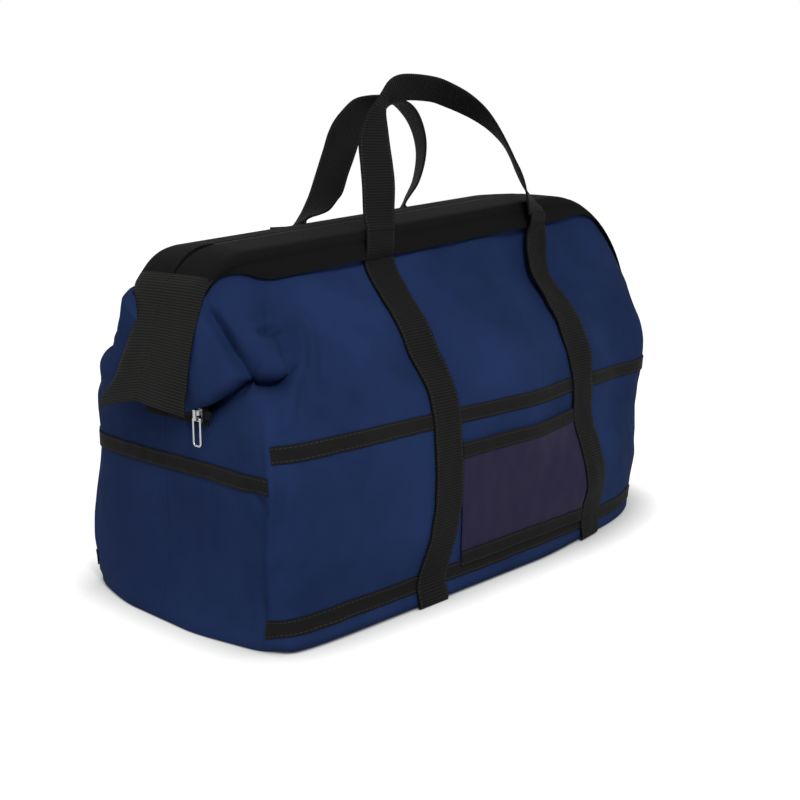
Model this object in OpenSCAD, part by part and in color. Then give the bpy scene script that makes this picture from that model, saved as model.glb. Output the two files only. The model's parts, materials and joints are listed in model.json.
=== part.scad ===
// Wide-mouth carry bag: a soft holdall whose mouth is held by two hinged steel frames.
// The bag stands on z = 0, is long in X, and its front is towards -Y. All sizes are millimetres.

/* [Bag body] */
// From the middle of the bag to its flat end, above the floor flare
flat_end_reach = 358; // [340:1:380]
// How far the flat end flares out where it meets the floor
floor_flare = 18; // [0:1:24]
// Height over which the flare runs out
floor_flare_h = 85; // [60:1:110]
// From the middle of the bag to its rounded end
round_end_reach = 348; // [325:1:365]
// Half depth of the bag at the floor
floor_half_depth = 156; // [140:1:160]
// Half depth of the bag at its belly
belly_half_depth = 161; // [150:1:175]
// Height of the belly
belly_z = 130; // [100:1:150]
// Height where the shoulder starts to lean in
shoulder_z = 165; // [150:1:180]
// Power of the shoulder's curve
shoulder_power = 1.7; // [1.3:0.1:2.2]
// How straight the upper body runs from the waist to the mouth
shoulder_mix = 0.62; // [0.3:0.01:1]
// Squareness of the flat end in plan
flat_end_square = 8; // [5:0.5:10]
// Squareness of the rounded end in plan
round_end_square = 2.8; // [2.4:0.1:4]
// How much squarer the rounded end is at the waist
waist_square = 0.8; // [0:0.1:1.5]
// Thickness of the body fabric
fabric_t = 2; // [1:0.1:3]
// Height of the seam between the standing lower body and the folding upper body
waist_z = 222; // [215:1:240]

/* [Mouth] */
// Height of the mouth's top line at the middle of the bag
ridge_z = 384; // [365:1:400]
// Rise of the top line per millimetre towards the rounded end
ridge_lean = 0.088; // [0.04:0.002:0.1]
// Half width of the mouth's top
mouth_half_width = 62; // [50:1:72]
// Height of the black band below the mouth's top edge
band_h = 33; // [28:1:45]
// Thickness of the band and of the end tabs
band_t = 2; // [1:0.1:3]
// Radius of the frame's corner at the flat end
flat_corner_r = 65; // [55:1:80]
// Radius of the frame's corner at the rounded end
round_corner_r = 180; // [140:1:195]
// Half width of an end tab where it leaves the mouth's corner
tab_top_half = 48; // [40:1:54]
// Half width of an end tab at its free lower edge
tab_foot_half = 70; // [55:1:80]
// Height of the end tabs' lower edge
tab_foot_z = 219; // [216:1:230]
// How far an end tab's lower edge stands off the bag
tab_stand_off = 28; // [22:1:32]

/* [Frame] */
// Diameter of the steel rod
rod_d = 6; // [4:0.5:7]
// Thickness of the hinge plates at the rod's ends
hinge_plate_t = 1.5; // [1:0.1:2]
// Radius of a hinge plate's eye
hinge_eye_r = 9; // [8:0.5:11]
// Height of the hinge rivets
hinge_z = 212; // [206:1:214]
// Radius of the rivets
rivet_r = 3; // [2.5:0.1:3.5]
// Radius of the rivet heads
rivet_head_r = 7; // [6:0.5:8]
// Running clearance round each rivet
rivet_fit = 0.05; // [0.02:0.01:0.1]

/* [Webbing] */
// Width of the strap webbing
webbing_w = 40; // [30:1:50]
// Thickness of the strap webbing
webbing_t = 2.4; // [1.5:0.1:3]
// Distance between the two straps on each side
strap_spacing = 260; // [220:5:280]
// How far the rear straps and their handle sit towards the flat end
rear_strap_shift = 15; // [0:1:40]
// Top of the handle arches above the mouth's edge
handle_h = 134; // [110:1:160]
// Width of the trim tape
tape_w = 16; // [12:1:20]
// Thickness of the trim tape
tape_t = 1; // [0.6:0.1:1.5]
// Height of the trim tape on the front and the back
side_tape_z = 186; // [175:1:195]
// Height of the trim tape on the ends
end_tape_z = 158; // [145:1:175]
// Height of the lower trim tape
foot_tape_z = 24; // [16:1:40]

/* [Patch] */
// Height of the front patch's lower edge
patch_z = 26; // [20:1:40]
// Height of the front patch
patch_h = 132; // [100:1:135]
// Thickness of the patch
patch_t = 1; // [0.6:0.1:1.5]

/* [Zip] */
// Pitch of the zip's teeth
tooth_pitch = 5; // [4:0.5:8]
// Width of a row of teeth
teeth_w = 4; // [3:0.5:5]
// Height of the teeth
teeth_t = 2.4; // [1.6:0.2:3]
// Width of the zip's tape on each side
zip_tape_w = 14; // [10:1:18]
// Thickness of the zip's tape
zip_tape_t = 1; // [0.6:0.1:1.2]
// Where the slider is parked, from the bag's middle towards its front
slider_at = 62; // [50:1:70]
// Length that the slider can run towards the back
slider_run = 52; // [30:1:60]
// Length of the slider
slider_l = 13; // [10:0.5:16]
// Width of the slider
slider_w = 11; // [9:0.5:14]
// Length of the pull ring
pull_l = 29; // [24:1:34]
// Width of the pull ring
pull_w = 12.5; // [11:0.5:15]
// Diameter of the pull ring's wire
pull_wire = 2.2; // [1.6:0.1:2.6]

/* [Base] */
// Thickness of the stiff board in the bag's floor
board_t = 4; // [3:0.5:6]
// Gap between the board's edge and the walls
board_gap = 6; // [3:0.5:12]

/* [Hidden] */

// Clearance between pieces that lie on each other
seat = 0.3;
// Half the distance between pieces that meet at the mouth's middle
meet = 0.3;
navy = [0.12, 0.2, 0.42];
dark_navy = [0.11, 0.1, 0.22];
webbing_black = [0.05, 0.05, 0.055];
steel = [0.6, 0.6, 0.62];
chrome = [0.8, 0.8, 0.82];
board_grey = [0.25, 0.25, 0.26];

// ---- Form of the bag ----

// Height of the mouth's top edge at x
function top_z(x) = ridge_z + ridge_lean * x;

// Height of the mouth band's lower edge at x
function mouth_z(x) = top_z(x) - band_h;

// Reach of the flat end at height z, with its flare at the floor
function flat_reach(z) =
  flat_end_reach + floor_flare * pow(max(0, 1 - z / floor_flare_h), 2);

// Squareness of the rounded end's plan at height z; it squares up towards the frame
function round_square(z) = round_end_square + waist_square * max(0, (z - belly_z) / (waist_z - belly_z));

// Half depth of the lower body at height z
function half_depth(z) =
  z < belly_z ? belly_half_depth - (belly_half_depth - floor_half_depth) * pow(1 - z / belly_z, 2)
  : z < shoulder_z ? belly_half_depth
  : belly_half_depth - (belly_half_depth - mouth_half_width - 3)
    * pow((z - shoulder_z) / (mouth_z(0) - shoulder_z), shoulder_power);

// Point of the plan outline in the direction of angle a, at height z
function outline(a, z) =
  let (flat = cos(a) < 0, n = flat ? flat_end_square : round_square(z),
    r = pow(pow(abs(cos(a)), n) + pow(abs(sin(a)), n), -1 / n),
    reach = flat ? flat_reach(z) : round_end_reach)
  [reach * r * cos(a), half_depth(z) * r * sin(a), z];

// Direction angle whose outline passes through x on the front
function angle_at(x) =
  let (flat = x < 0, n = flat ? flat_end_square : round_end_square,
    k = abs(x) / (flat ? flat_end_reach : round_end_reach))
  270 + sign(x) * atan(k / pow(1 - pow(k, n), 1 / n));

// Outward direction, level, at angle a and height z
function level_normal(a, z) =
  let (d = outline(a + 0.5, z) - outline(a - 0.5, z)) unit([d[1], -d[0], 0]);

// ---- Sheets ----

function unit(v) = v / max(norm(v), 1e-9);

// A closed sheet between two grids of points, rows upwards and columns towards the left of outwards
module sheet(outer, inner) {
  rows = len(outer);
  cols = len(outer[0]);
  points = concat([for (r = outer) each r], [for (r = inner) each r]);
  o = rows * cols;
  outside = [for (i = [0:rows - 2]) for (j = [0:cols - 2]) let (k = i * cols + j)
    each [[k, k + cols, k + 1], [k + 1, k + cols, k + cols + 1]]];
  inside = [for (f = outside) [f[2] + o, f[1] + o, f[0] + o]];
  foot = [for (j = [0:cols - 2]) each [[j, j + 1, j + o], [j + 1, j + 1 + o, j + o]]];
  head = [for (j = [0:cols - 2]) let (k = (rows - 1) * cols + j)
    each [[k + 1, k, k + o], [k + 1, k + o, k + 1 + o]]];
  first = [for (i = [0:rows - 2]) let (k = i * cols)
    each [[k + cols, k, k + o], [k + cols, k + o, k + cols + o]]];
  last = [for (i = [0:rows - 2]) let (k = i * cols + cols - 1)
    each [[k, k + cols, k + o], [k + cols, k + cols + o, k + o]]];
  polyhedron(points, concat(outside, inside, foot, head, first, last));
}

// A grid over the lower body between two angles and two heights, moved outwards by off
function lower_grid(a0, a1, cols, z0, z1, rows, off) =
  [for (i = [0:rows]) let (z = z0 + (z1 - z0) * i / rows)
    [for (j = [0:cols]) let (a = a0 + (a1 - a0) * j / cols)
      outline(a, z) + off * level_normal(a, z)]];

// A sheet of thickness t over the lower body, its inner face moved outwards by off
module lower_sheet(a0, a1, cols, z0, z1, rows, off, t) {
  sheet(lower_grid(a0, a1, cols, z0, z1, rows, off + t), lower_grid(a0, a1, cols, z0, z1, rows, off));
}

// Copies what follows to the back of the bag
module at_rear() {
  mirror([0, 1, 0]) children();
}

front_cols = 24;
end_cols = 10;
corner_flat = 225;
corner_round = 315;
// Angle left open at each side of a seam between two panels
seam = 0.05;

// ---- Lower body ----

// Plan of the bag at height z, drawn in by d
module floor_plan(d, z) {
  polygon([for (i = [0:4 * front_cols - 1]) let (a = corner_flat + i * 90 / front_cols)
    let (p = outline(a, z) - d * level_normal(a, z)) [p[0], p[1]]]);
}

module base_panel() {
  color(navy) linear_extrude(fabric_t - seat) floor_plan(0, 0);
}

module base_board() {
  color(board_grey) translate([0, 0, fabric_t]) linear_extrude(board_t)
    floor_plan(fabric_t + board_gap, fabric_t + board_t);
}

module front_lower_panel() {
  color(navy) lower_sheet(corner_flat + seam, corner_round - seam, front_cols, fabric_t, waist_z, 7,
    -fabric_t, fabric_t);
}

module rear_lower_panel() {
  at_rear() front_lower_panel();
}

module flat_end_panel() {
  color(navy) lower_sheet(135 + seam, 225 - seam, end_cols, fabric_t, waist_z, 7, -fabric_t, fabric_t);
}

module round_end_panel() {
  color(navy) lower_sheet(-45 + seam, 45 - seam, end_cols + 4, fabric_t, waist_z, 7, -fabric_t, fabric_t);
}

// ---- Trim tape ----

// A tape of the given width laid on the lower body at height z, stood off by off
module body_tape(a0, a1, cols, z, w, t, off) {
  color(webbing_black) lower_sheet(a0 + seam, a1 - seam, cols, z - w / 2, z + w / 2, 2, off, t);
}

module front_side_tape() {
  body_tape(corner_flat, corner_round, front_cols, side_tape_z, tape_w, tape_t, seat);
}

module rear_side_tape() {
  at_rear() front_side_tape();
}

module flat_end_tape() {
  body_tape(135, 225, end_cols, end_tape_z, tape_w, tape_t, seat);
}

module round_end_tape() {
  body_tape(-45, 45, end_cols + 4, side_tape_z, tape_w, tape_t, seat);
}

module front_foot_tape() {
  body_tape(corner_flat, corner_round, front_cols, foot_tape_z, tape_w, tape_t, seat);
}

module rear_foot_tape() {
  at_rear() front_foot_tape();
}

// ---- Patch ----

patch_left = angle_at(-strap_spacing / 2 + webbing_w / 2 + 1);
patch_right = angle_at(strap_spacing / 2 - webbing_w / 2 - 1);

module patch_panel() {
  color(dark_navy) lower_sheet(patch_left, patch_right, 8, patch_z, patch_z + patch_h, 5,
    seat + tape_t + seat, patch_t);
}

module patch_bindings() {
  for (z = [patch_z + patch_h - tape_w / 2, patch_z + tape_w / 2])
    body_tape(patch_left, patch_right, 8, z, tape_w, tape_t, tape_t + patch_t + 3 * seat);
}

// ---- Straps on the body ----

// Height that the straps stand off the body, over the tapes
strap_off = tape_t + patch_t + 2 * seat;

module lower_strap(x) {
  color(webbing_black) lower_sheet(angle_at(x - webbing_w / 2), angle_at(x + webbing_w / 2), 2,
    fabric_t, waist_z, 8, strap_off, webbing_t);
}

module lower_straps(shift) {
  for (s = [-1, 1]) lower_strap(s * strap_spacing / 2 - shift);
}

module front_lower_straps() {
  lower_straps(0);
}

module rear_lower_straps() {
  at_rear() lower_straps(rear_strap_shift);
}

// ---- Path of the mouth: up the flat end, along the ridge, down the rounded end ----

lean_angle = atan(ridge_lean);
flat_foot = [-flat_end_reach - tab_stand_off, tab_foot_z];
round_foot = [round_end_reach + tab_stand_off - 6, tab_foot_z];
flat_lean = 20;
round_lean = 20;
// Point where a tab's line meets the ridge line; side is -1 at the flat end and 1 at the rounded end
function meeting(foot, lean, side) =
  let (k = -side * tan(lean),
    z = (ridge_z + ridge_lean * (foot[0] - k * foot[1])) / (1 - ridge_lean * k))
  [foot[0] + k * (z - foot[1]), z];
flat_meet = meeting(flat_foot, flat_lean, -1);
round_meet = meeting(round_foot, round_lean, 1);
flat_turn = 90 - flat_lean - lean_angle;
round_turn = 90 - round_lean + lean_angle;
flat_cut = flat_corner_r * tan(flat_turn / 2);
round_cut = round_corner_r * tan(round_turn / 2);
flat_leg_l = norm(flat_meet - flat_foot) - flat_cut;
round_leg_l = norm(round_meet - round_foot) - round_cut;
flat_arc_l = flat_corner_r * flat_turn * PI / 180;
round_arc_l = round_corner_r * round_turn * PI / 180;
ridge_l = norm(round_meet - flat_meet) - flat_cut - round_cut;
// Distances along the path where its stretches end
mark_1 = flat_leg_l;
mark_2 = mark_1 + flat_arc_l;
mark_3 = mark_2 + ridge_l;
mark_4 = mark_3 + round_arc_l;
mark_5 = mark_4 + round_leg_l;
flat_up = [sin(flat_lean), cos(flat_lean)];
ridge_on = [cos(lean_angle), sin(lean_angle)];
flat_arc_start = flat_foot + flat_leg_l * flat_up;
ridge_start = flat_meet + flat_cut * ridge_on;
ridge_end = ridge_start + ridge_l * ridge_on;

// Heading of the path at distance s, in degrees above +X
function heading(s) =
  s < mark_1 ? 90 - flat_lean
  : s < mark_2 ? 90 - flat_lean - (s - mark_1) / flat_corner_r * 180 / PI
  : s < mark_3 ? lean_angle
  : s < mark_4 ? lean_angle - (s - mark_3) / round_corner_r * 180 / PI
  : lean_angle - round_turn;

// Point of the path at distance s, as [x, z]
function path_point(s) =
  s < mark_1 ? flat_foot + s * flat_up
  : s < mark_2 ? let (h = heading(s)) flat_arc_start + flat_corner_r
    * [cos(h + 90) - cos(180 - flat_lean), sin(h + 90) - sin(180 - flat_lean)]
  : s < mark_3 ? ridge_start + (s - mark_2) * ridge_on
  : s < mark_4 ? let (h = heading(s)) ridge_end + round_corner_r
    * [cos(h + 90) - cos(lean_angle + 90), sin(h + 90) - sin(lean_angle + 90)]
  : round_foot + (mark_5 - s) * [-sin(round_lean), cos(round_lean)];

// A point beside the path: side towards the front, drop inwards from it
function beside(s, side, drop) =
  let (p = path_point(s), h = heading(s))
  [p[0] + drop * sin(h), -side, p[1] - drop * cos(h)];

function smooth(t) = let (k = max(0, min(1, t))) k * k * (3 - 2 * k);

// Length of the rounded end's corner over which the band narrows
round_taper = 0.6 * round_arc_l;

// Part of the full band at distance s: 0 on the tabs, 1 along the ridge
function band_part(s) =
  smooth((s - mark_1) / (mark_2 - mark_1)) * smooth((mark_3 + round_taper - s) / round_taper);

// Half width of the mouth's skin at distance s
function skin_half(s) =
  s < mark_1 ? tab_foot_half + (tab_top_half - tab_foot_half) * s / mark_1
  : s > mark_4 ? tab_foot_half + (tab_top_half - tab_foot_half) * (mark_5 - s) / round_leg_l
  : tab_top_half + (mouth_half_width - tab_top_half) * band_part(s);

// How far a tab's edge turns in
tab_lip = 1.5;
// Rise of the mouth's top beside the zip, and its fall from there to half way out
crown = 3;
crown_fall = 1;
// Distance from the bag's middle to the band's edge beside the zip
zip_side = meet + 6;
// How far the band's lower edge leans out past the mouth's half width
band_lean = 3;

// How far the skin turns down at its edge at distance s
function skin_drop(s) = tab_lip + (band_h - tab_lip) * band_part(s);

// Points across the skin at distance s, from the zip to its lower edge
function skin_row(s) =
  let (w = skin_half(s), d = skin_drop(s), k = band_part(s))
  [beside(s, meet + (zip_side - meet) * k, -crown * k), beside(s, w / 2, (crown_fall - crown) * k),
    beside(s, w - 4, 0.3), beside(s, w - 0.6, 0.6 + 3.4 * k),
    beside(s, w + band_lean / 2 * k, 1 + (d - 1) / 2), beside(s, w + band_lean * k, d)];

// A grid of the skin between two distances
function skin_grid(s0, s1, n) = [for (i = [0:n]) skin_row(s0 + (s1 - s0) * i / n)];

// Normal of a grid of points at row i and column j, by the neighbours' differences
function grid_normal(g, i, j) =
  let (rows = len(g), cols = len(g[0]),
    di = g[min(i + 1, rows - 1)][j] - g[max(i - 1, 0)][j],
    dj = g[i][min(j + 1, cols - 1)] - g[i][max(j - 1, 0)])
  unit(cross(dj, di));

// A sheet of the band's thickness under a grid
module skin_sheet(g) {
  color(webbing_black) sheet(g, [for (i = [0:len(g) - 1]) [for (j = [0:len(g[0]) - 1])
    g[i][j] - band_t * grid_normal(g, i, j)]]);
}

module front_mouth_band() {
  skin_sheet(concat(skin_grid(mark_1 + seat, mark_2, 7), skin_grid(mark_2 + ridge_l / 8, mark_3, 6),
    skin_grid(mark_3 + round_arc_l / 6, mark_4 - seat, 6)));
}

module rear_mouth_band() {
  at_rear() front_mouth_band();
}

module front_end_tabs() {
  skin_sheet(skin_grid(0, mark_1, 3));
  skin_sheet(skin_grid(mark_4, mark_5, 3));
}

module rear_end_tabs() {
  at_rear() front_end_tabs();
}

// ---- Upper body, which folds as the mouth opens ----

// Direction angles between which the fabric turns from the front band to a tab
tab_edge_flat = 207;
tab_edge_round = 333;
// Angle from the bag's middle at which the gussets end, so that they part as the mouth opens
gusset_part = 2;
// How far the fabric tucks in behind the band, and how far in it leans over that height
tuck = 2;
tuck_lean = 1.7 * tuck;

// Distance along the path at which the ridge passes x
function ridge_at(x) = mark_2 + (x - ridge_start[0]) / cos(lean_angle);

// Distance along the path that the fabric's top edge reaches at angle a
function edge_at(a) =
  let (x = outline(a, waist_z)[0], flat = x < 0,
    pull = flat ? 1 - 0.02 * pow(-x / 325, 3) : 1 + 0.02 * pow(x / 290, 3))
  ridge_at(x * pull);

// Top edge of the upper fabric at angle a: behind the band, round its corner, then under a tab
function upper_edge(a) =
  let (flat = a < 270, corner = flat ? corner_flat : corner_round,
    tab_edge = flat ? tab_edge_flat : tab_edge_round, leg = flat ? mark_1 : mark_4,
    past = flat ? corner - a : a - corner,
    s = past <= 0 ? edge_at(a)
      : leg + (edge_at(corner) - leg) * max(0, 1 - past / abs(tab_edge - corner)),
    under = past > abs(tab_edge - corner),
    share = under ? outline(a, waist_z)[1] / outline(tab_edge, waist_z)[1] : 1,
    side = skin_half(s) + band_lean * band_part(s) - band_t - seat - tuck_lean)
  beside(s, side * share, max(skin_drop(s) - tuck, band_t + 3 * seat));

// Upper body: v runs from the waist, 0, to the mouth, 1
function upper_point(a, v) =
  let (foot = outline(a, waist_z) + [0, 0, seat], head = upper_edge(a),
    k = shoulder_mix * v + (1 - shoulder_mix) * v * v)
  [foot[0] + (head[0] - foot[0]) * k, foot[1] + (head[1] - foot[1]) * k,
    foot[2] + (head[2] - foot[2]) * v];

// Outward direction of the upper body, level at the waist
function upper_normal(a, v) =
  let (da = upper_point(a + 0.5, v) - upper_point(a - 0.5, v),
    dv = upper_point(a, v + 0.02) - upper_point(a, v - 0.02), n = unit(cross(da, dv)))
  unit([n[0], n[1], n[2] * v]);

// A grid over the upper body between two angles and two parts of its height, moved outwards by off
function upper_grid(a0, a1, cols, v0, v1, rows, off) =
  [for (i = [0:rows]) let (v = v0 + (v1 - v0) * i / rows)
    [for (j = [0:cols]) let (a = a0 + (a1 - a0) * j / cols)
      upper_point(a, v) + off * upper_normal(a, v)]];

// A sheet of thickness t over the upper body, its inner face moved outwards by off
module upper_sheet(a0, a1, cols, v1, rows, off, t) {
  sheet(upper_grid(a0, a1, cols, 0, v1, rows, off + t), upper_grid(a0, a1, cols, 0, v1, rows, off));
}

module front_upper_panel() {
  color(navy) upper_sheet(corner_flat + seam, corner_round - seam, front_cols, 1, 5, -fabric_t, fabric_t);
}

module rear_upper_panel() {
  at_rear() front_upper_panel();
}

module flat_end_front_gusset() {
  color(navy) upper_sheet(180 + gusset_part, corner_flat - seam, 6, 1, 5, -fabric_t, fabric_t);
}

module flat_end_rear_gusset() {
  at_rear() flat_end_front_gusset();
}

module round_end_front_gusset() {
  color(navy) upper_sheet(corner_round + seam, 360 - gusset_part, 6, 1, 5, -fabric_t, fabric_t);
}

module round_end_rear_gusset() {
  at_rear() round_end_front_gusset();
}

// ---- Straps over the upper body ----

// Part of the upper body's height where the straps reach the band
strap_stop = 1 - (tuck + strap_off + webbing_t) / (mouth_z(0) - waist_z);

module upper_strap(x) {
  color(webbing_black) upper_sheet(angle_at(x - webbing_w / 2), angle_at(x + webbing_w / 2), 2,
    strap_stop, 6, strap_off, webbing_t);
}

module upper_straps(shift) {
  for (s = [-1, 1]) upper_strap(s * strap_spacing / 2 - shift);
}

module front_upper_straps() {
  upper_straps(0);
}

module rear_upper_straps() {
  at_rear() upper_straps(rear_strap_shift);
}

// ---- Frame: a steel rod in the band, with hinge plates at its ends ----

// Inner faces of the end panels at the hinge
flat_wall = -flat_reach(hinge_z) + fabric_t;
round_wall = round_end_reach - fabric_t;
anchor_t = 2;
anchor_w = 44;
anchor_h = 36;
// Reach of an anchor below the hinge; its top stays under the waist
anchor_below = anchor_h - (waist_z - hinge_z) + 2;
// Places in the stack from an end wall inwards
anchor_at = seat;
rear_plate_at = anchor_at + anchor_t + seat;
front_plate_at = rear_plate_at + hinge_plate_t + seat;
head_at = front_plate_at + hinge_plate_t + seat;
head_t = 1.8;
tang_l = 40;
tang_lean = 14;

// Places a piece against an end wall, depth inwards: its x goes up, its y to the front, its z inwards
module on_end(side, depth) {
  wall = side < 0 ? flat_wall : round_wall;
  translate([wall - side * depth, 0, hinge_z]) rotate([side < 0 ? 180 : 0, -90, 0])
    mirror([0, side < 0 ? 0 : 1, 0]) children();
}

module hinge_anchors() {
  color(webbing_black) for (side = [-1, 1]) on_end(side, anchor_at) difference() {
    translate([-anchor_below, -anchor_w / 2, 0]) cube([anchor_h, anchor_w, anchor_t]);
    translate([0, 0, -1]) cylinder(r = rivet_r, h = anchor_t + 2, $fn = 48);
  }
}

module hinge_rivets() {
  color(steel) for (side = [-1, 1]) on_end(side, anchor_at) {
    cylinder(r = rivet_r, h = head_at - anchor_at + head_t / 2, $fn = 48);
    translate([0, 0, head_at - anchor_at]) cylinder(r = rivet_head_r, h = head_t, $fn = 48);
  }
}

// One hinge plate: an eye with a tang that leans towards the front
module hinge_plate() {
  difference() {
    union() {
      cylinder(r = hinge_eye_r, h = hinge_plate_t, $fn = 48);
      rotate([0, 0, tang_lean]) translate([0, -rod_d, 0]) cube([tang_l, 2 * rod_d, hinge_plate_t]);
    }
    translate([0, 0, -1]) cylinder(r = rivet_r + rivet_fit, h = hinge_plate_t + 2, $fn = 48);
  }
}

module front_hinge_plates() {
  color(steel) for (side = [-1, 1]) on_end(side, front_plate_at) hinge_plate();
}

module rear_hinge_plates() {
  color(steel) at_rear() for (side = [-1, 1]) on_end(side, rear_plate_at) hinge_plate();
}

// A round bar swept along points, with sides faces
module swept_bar(path, r, sides) {
  n = len(path);
  ring = [for (i = [0:n - 1])
    let (t = unit(path[min(i + 1, n - 1)] - path[max(i - 1, 0)]),
      a = unit(cross(t, [0, 1, 0.2])), b = cross(t, a))
    [for (k = [0:sides - 1]) path[i] + r * (cos(360 * k / sides) * a + sin(360 * k / sides) * b)]];
  faces = [for (i = [0:n - 2]) for (k = [0:sides - 1])
    let (p = i * sides + k, q = i * sides + (k + 1) % sides)
    each [[p, p + sides, q], [q, p + sides, q + sides]]];
  caps = [[for (k = [0:sides - 1]) k], [for (k = [0:sides - 1]) n * sides - 1 - k]];
  polyhedron([for (r = ring) each r], concat(faces, caps));
}

// Heights above the hinge between which the rod lies on a hinge plate's tang
rod_start = 26;
rod_leave = tang_l + 2;

// Point of the rod's line at a height above the hinge
function rod_foot(side, depth, up) =
  let (wall = side < 0 ? flat_wall : round_wall)
  [wall - side * (depth + hinge_plate_t + rod_d / 2 + seat / 3), -up * sin(tang_lean),
    hinge_z + up * cos(tang_lean)];

// Depth of the rod under the band, and how far inside the fabric's top edge it runs
rod_under = band_t + rod_d / 2 + 1;
function rod_side(s) =
  skin_half(s) + band_lean * band_part(s) - band_t - seat - tuck_lean - fabric_t - rod_d / 2 - 1;

// The rod's line from one hinge to the other
function rod_path(depth) =
  concat([rod_foot(-1, depth, rod_start), rod_foot(-1, depth, rod_leave)],
    [for (i = [0:8]) let (s = mark_1 + (mark_2 - mark_1) * (0.25 + 0.75 * i / 8))
      beside(s, rod_side(s), rod_under + 10 * (1 - i / 8))],
    [for (i = [0:8]) let (s = mark_3 + (mark_4 - mark_3) * 0.85 * i / 8)
      beside(s, rod_side(s), rod_under + 10 * i / 8)],
    [rod_foot(1, depth, rod_leave), rod_foot(1, depth, rod_start)]);

module front_frame_rod() {
  color(steel) swept_bar(rod_path(front_plate_at), rod_d / 2, 8);
}

module rear_frame_rod() {
  color(steel) at_rear() swept_bar(rod_path(rear_plate_at), rod_d / 2, 8);
}

// ---- Zip along the ridge ----

// Reach of the zip's tape from the bag's middle
zip_reach = meet + teeth_w / 2 + zip_tape_w;
// Drop of the tape's upper face, which clears the band where the tape ends
zip_under = band_t - crown + crown_fall * (zip_reach - zip_side) / (mouth_half_width / 2 - zip_side) + seat;
zip_l = floor(ridge_l / tooth_pitch) * tooth_pitch;

// Places a piece, drawn along +X from 0, on the ridge's straight stretch
module on_ridge(drop) {
  translate([ridge_start[0], 0, ridge_start[1]]) rotate([0, -lean_angle, 0])
    translate([(ridge_l - zip_l) / 2, 0, -drop]) children();
}

module front_zip_tape() {
  color(webbing_black) on_ridge(zip_under + zip_tape_t) translate([0, -zip_reach, 0])
    cube([zip_l, zip_tape_w, zip_tape_t]);
}

module rear_zip_tape() {
  at_rear() front_zip_tape();
}

// Outline of one row of teeth; the other row's teeth fill its gaps
module tooth_row(length, shift) {
  n = floor(length / tooth_pitch);
  reach = 0.8;
  tooth = tooth_pitch / 2 - 2 * meet;
  points = concat([[0, -teeth_w], [0, -meet - reach]],
    [for (i = [0:n - 2]) let (x = i * tooth_pitch + shift + meet)
      each [[x, -meet - reach], [x, reach], [x + tooth, reach], [x + tooth, -meet - reach]]],
    [[n * tooth_pitch, -meet - reach], [n * tooth_pitch, -teeth_w]]);
  polygon(points);
}

module front_zip_teeth() {
  color(webbing_black) on_ridge(zip_under) linear_extrude(teeth_t) tooth_row(zip_l, tooth_pitch / 4);
}

module rear_zip_teeth() {
  color(webbing_black) at_rear() on_ridge(zip_under) linear_extrude(teeth_t)
    tooth_row(zip_l, tooth_pitch * 3 / 4);
}

// ---- Handles ----

// Face of the mouth band at the straps, and the edge that a handle folds about
strap_face = mouth_half_width + 3 + seat;
fold_y = strap_face + webbing_t + seat;
fold_drop = 2;

// Height of the fold line at the straps, level for both
fold_z = ridge_z - fold_drop;

module strap_heads(shift) {
  color(webbing_black) for (s = [-1, 1]) {
    x = s * strap_spacing / 2 - shift;
    foot = mouth_z(x) + seat;
    translate([x - webbing_w / 2, -strap_face - webbing_t, foot])
      cube([webbing_w, webbing_t, fold_z - foot - seat]);
  }
}

module front_strap_heads() {
  strap_heads(0);
}

module rear_strap_heads() {
  at_rear() strap_heads(rear_strap_shift);
}

// Line of a handle as [x, inwards, up] from its fold line; inwards leans over the mouth
front_handle_line = [[-130, 0, 0], [-130, 2, 33], [-131, 4, 56], [-132, 6, 78], [-128, 8, 97],
  [-120, 10, 114], [-106, 12, 125], [-84, 14, 132], [-54, 16, 134], [-26, 18, 133], [-2, 18, 129],
  [24, 18, 122], [50, 18, 112], [72, 16, 99], [94, 13, 77], [104, 11, 61], [114, 7, 36],
  [122, 4, 18], [130, 0, 0]];
rear_handle_line = [[-130, 0, 0], [-126, 0, 15], [-112, 0, 25], [-90, 0, 34], [-70, 0, 48],
  [-56, 0, 66], [-46, 0, 84], [-34, 0, 101], [-16, 1, 115], [6, 2, 123], [32, 2, 125], [56, 1, 120],
  [76, 0, 107], [87, 0, 86], [89, 0, 62], [90, 0, 44], [98, 0, 32], [112, 0, 24], [126, 0, 15],
  [130, 0, 0]];
handle_line_h = 134;
handle_line_x = 130;

// Turn of the webbing's width, at part t of a handle's line: half a turn in all, of which bend is
// made between the parts from and to, and the rest after the part last
function handle_turn(t, bend, from, to, last) =
  bend * smooth((t - from) / (to - from)) + (180 - bend) * smooth((t - last) / (1 - last));

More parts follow.
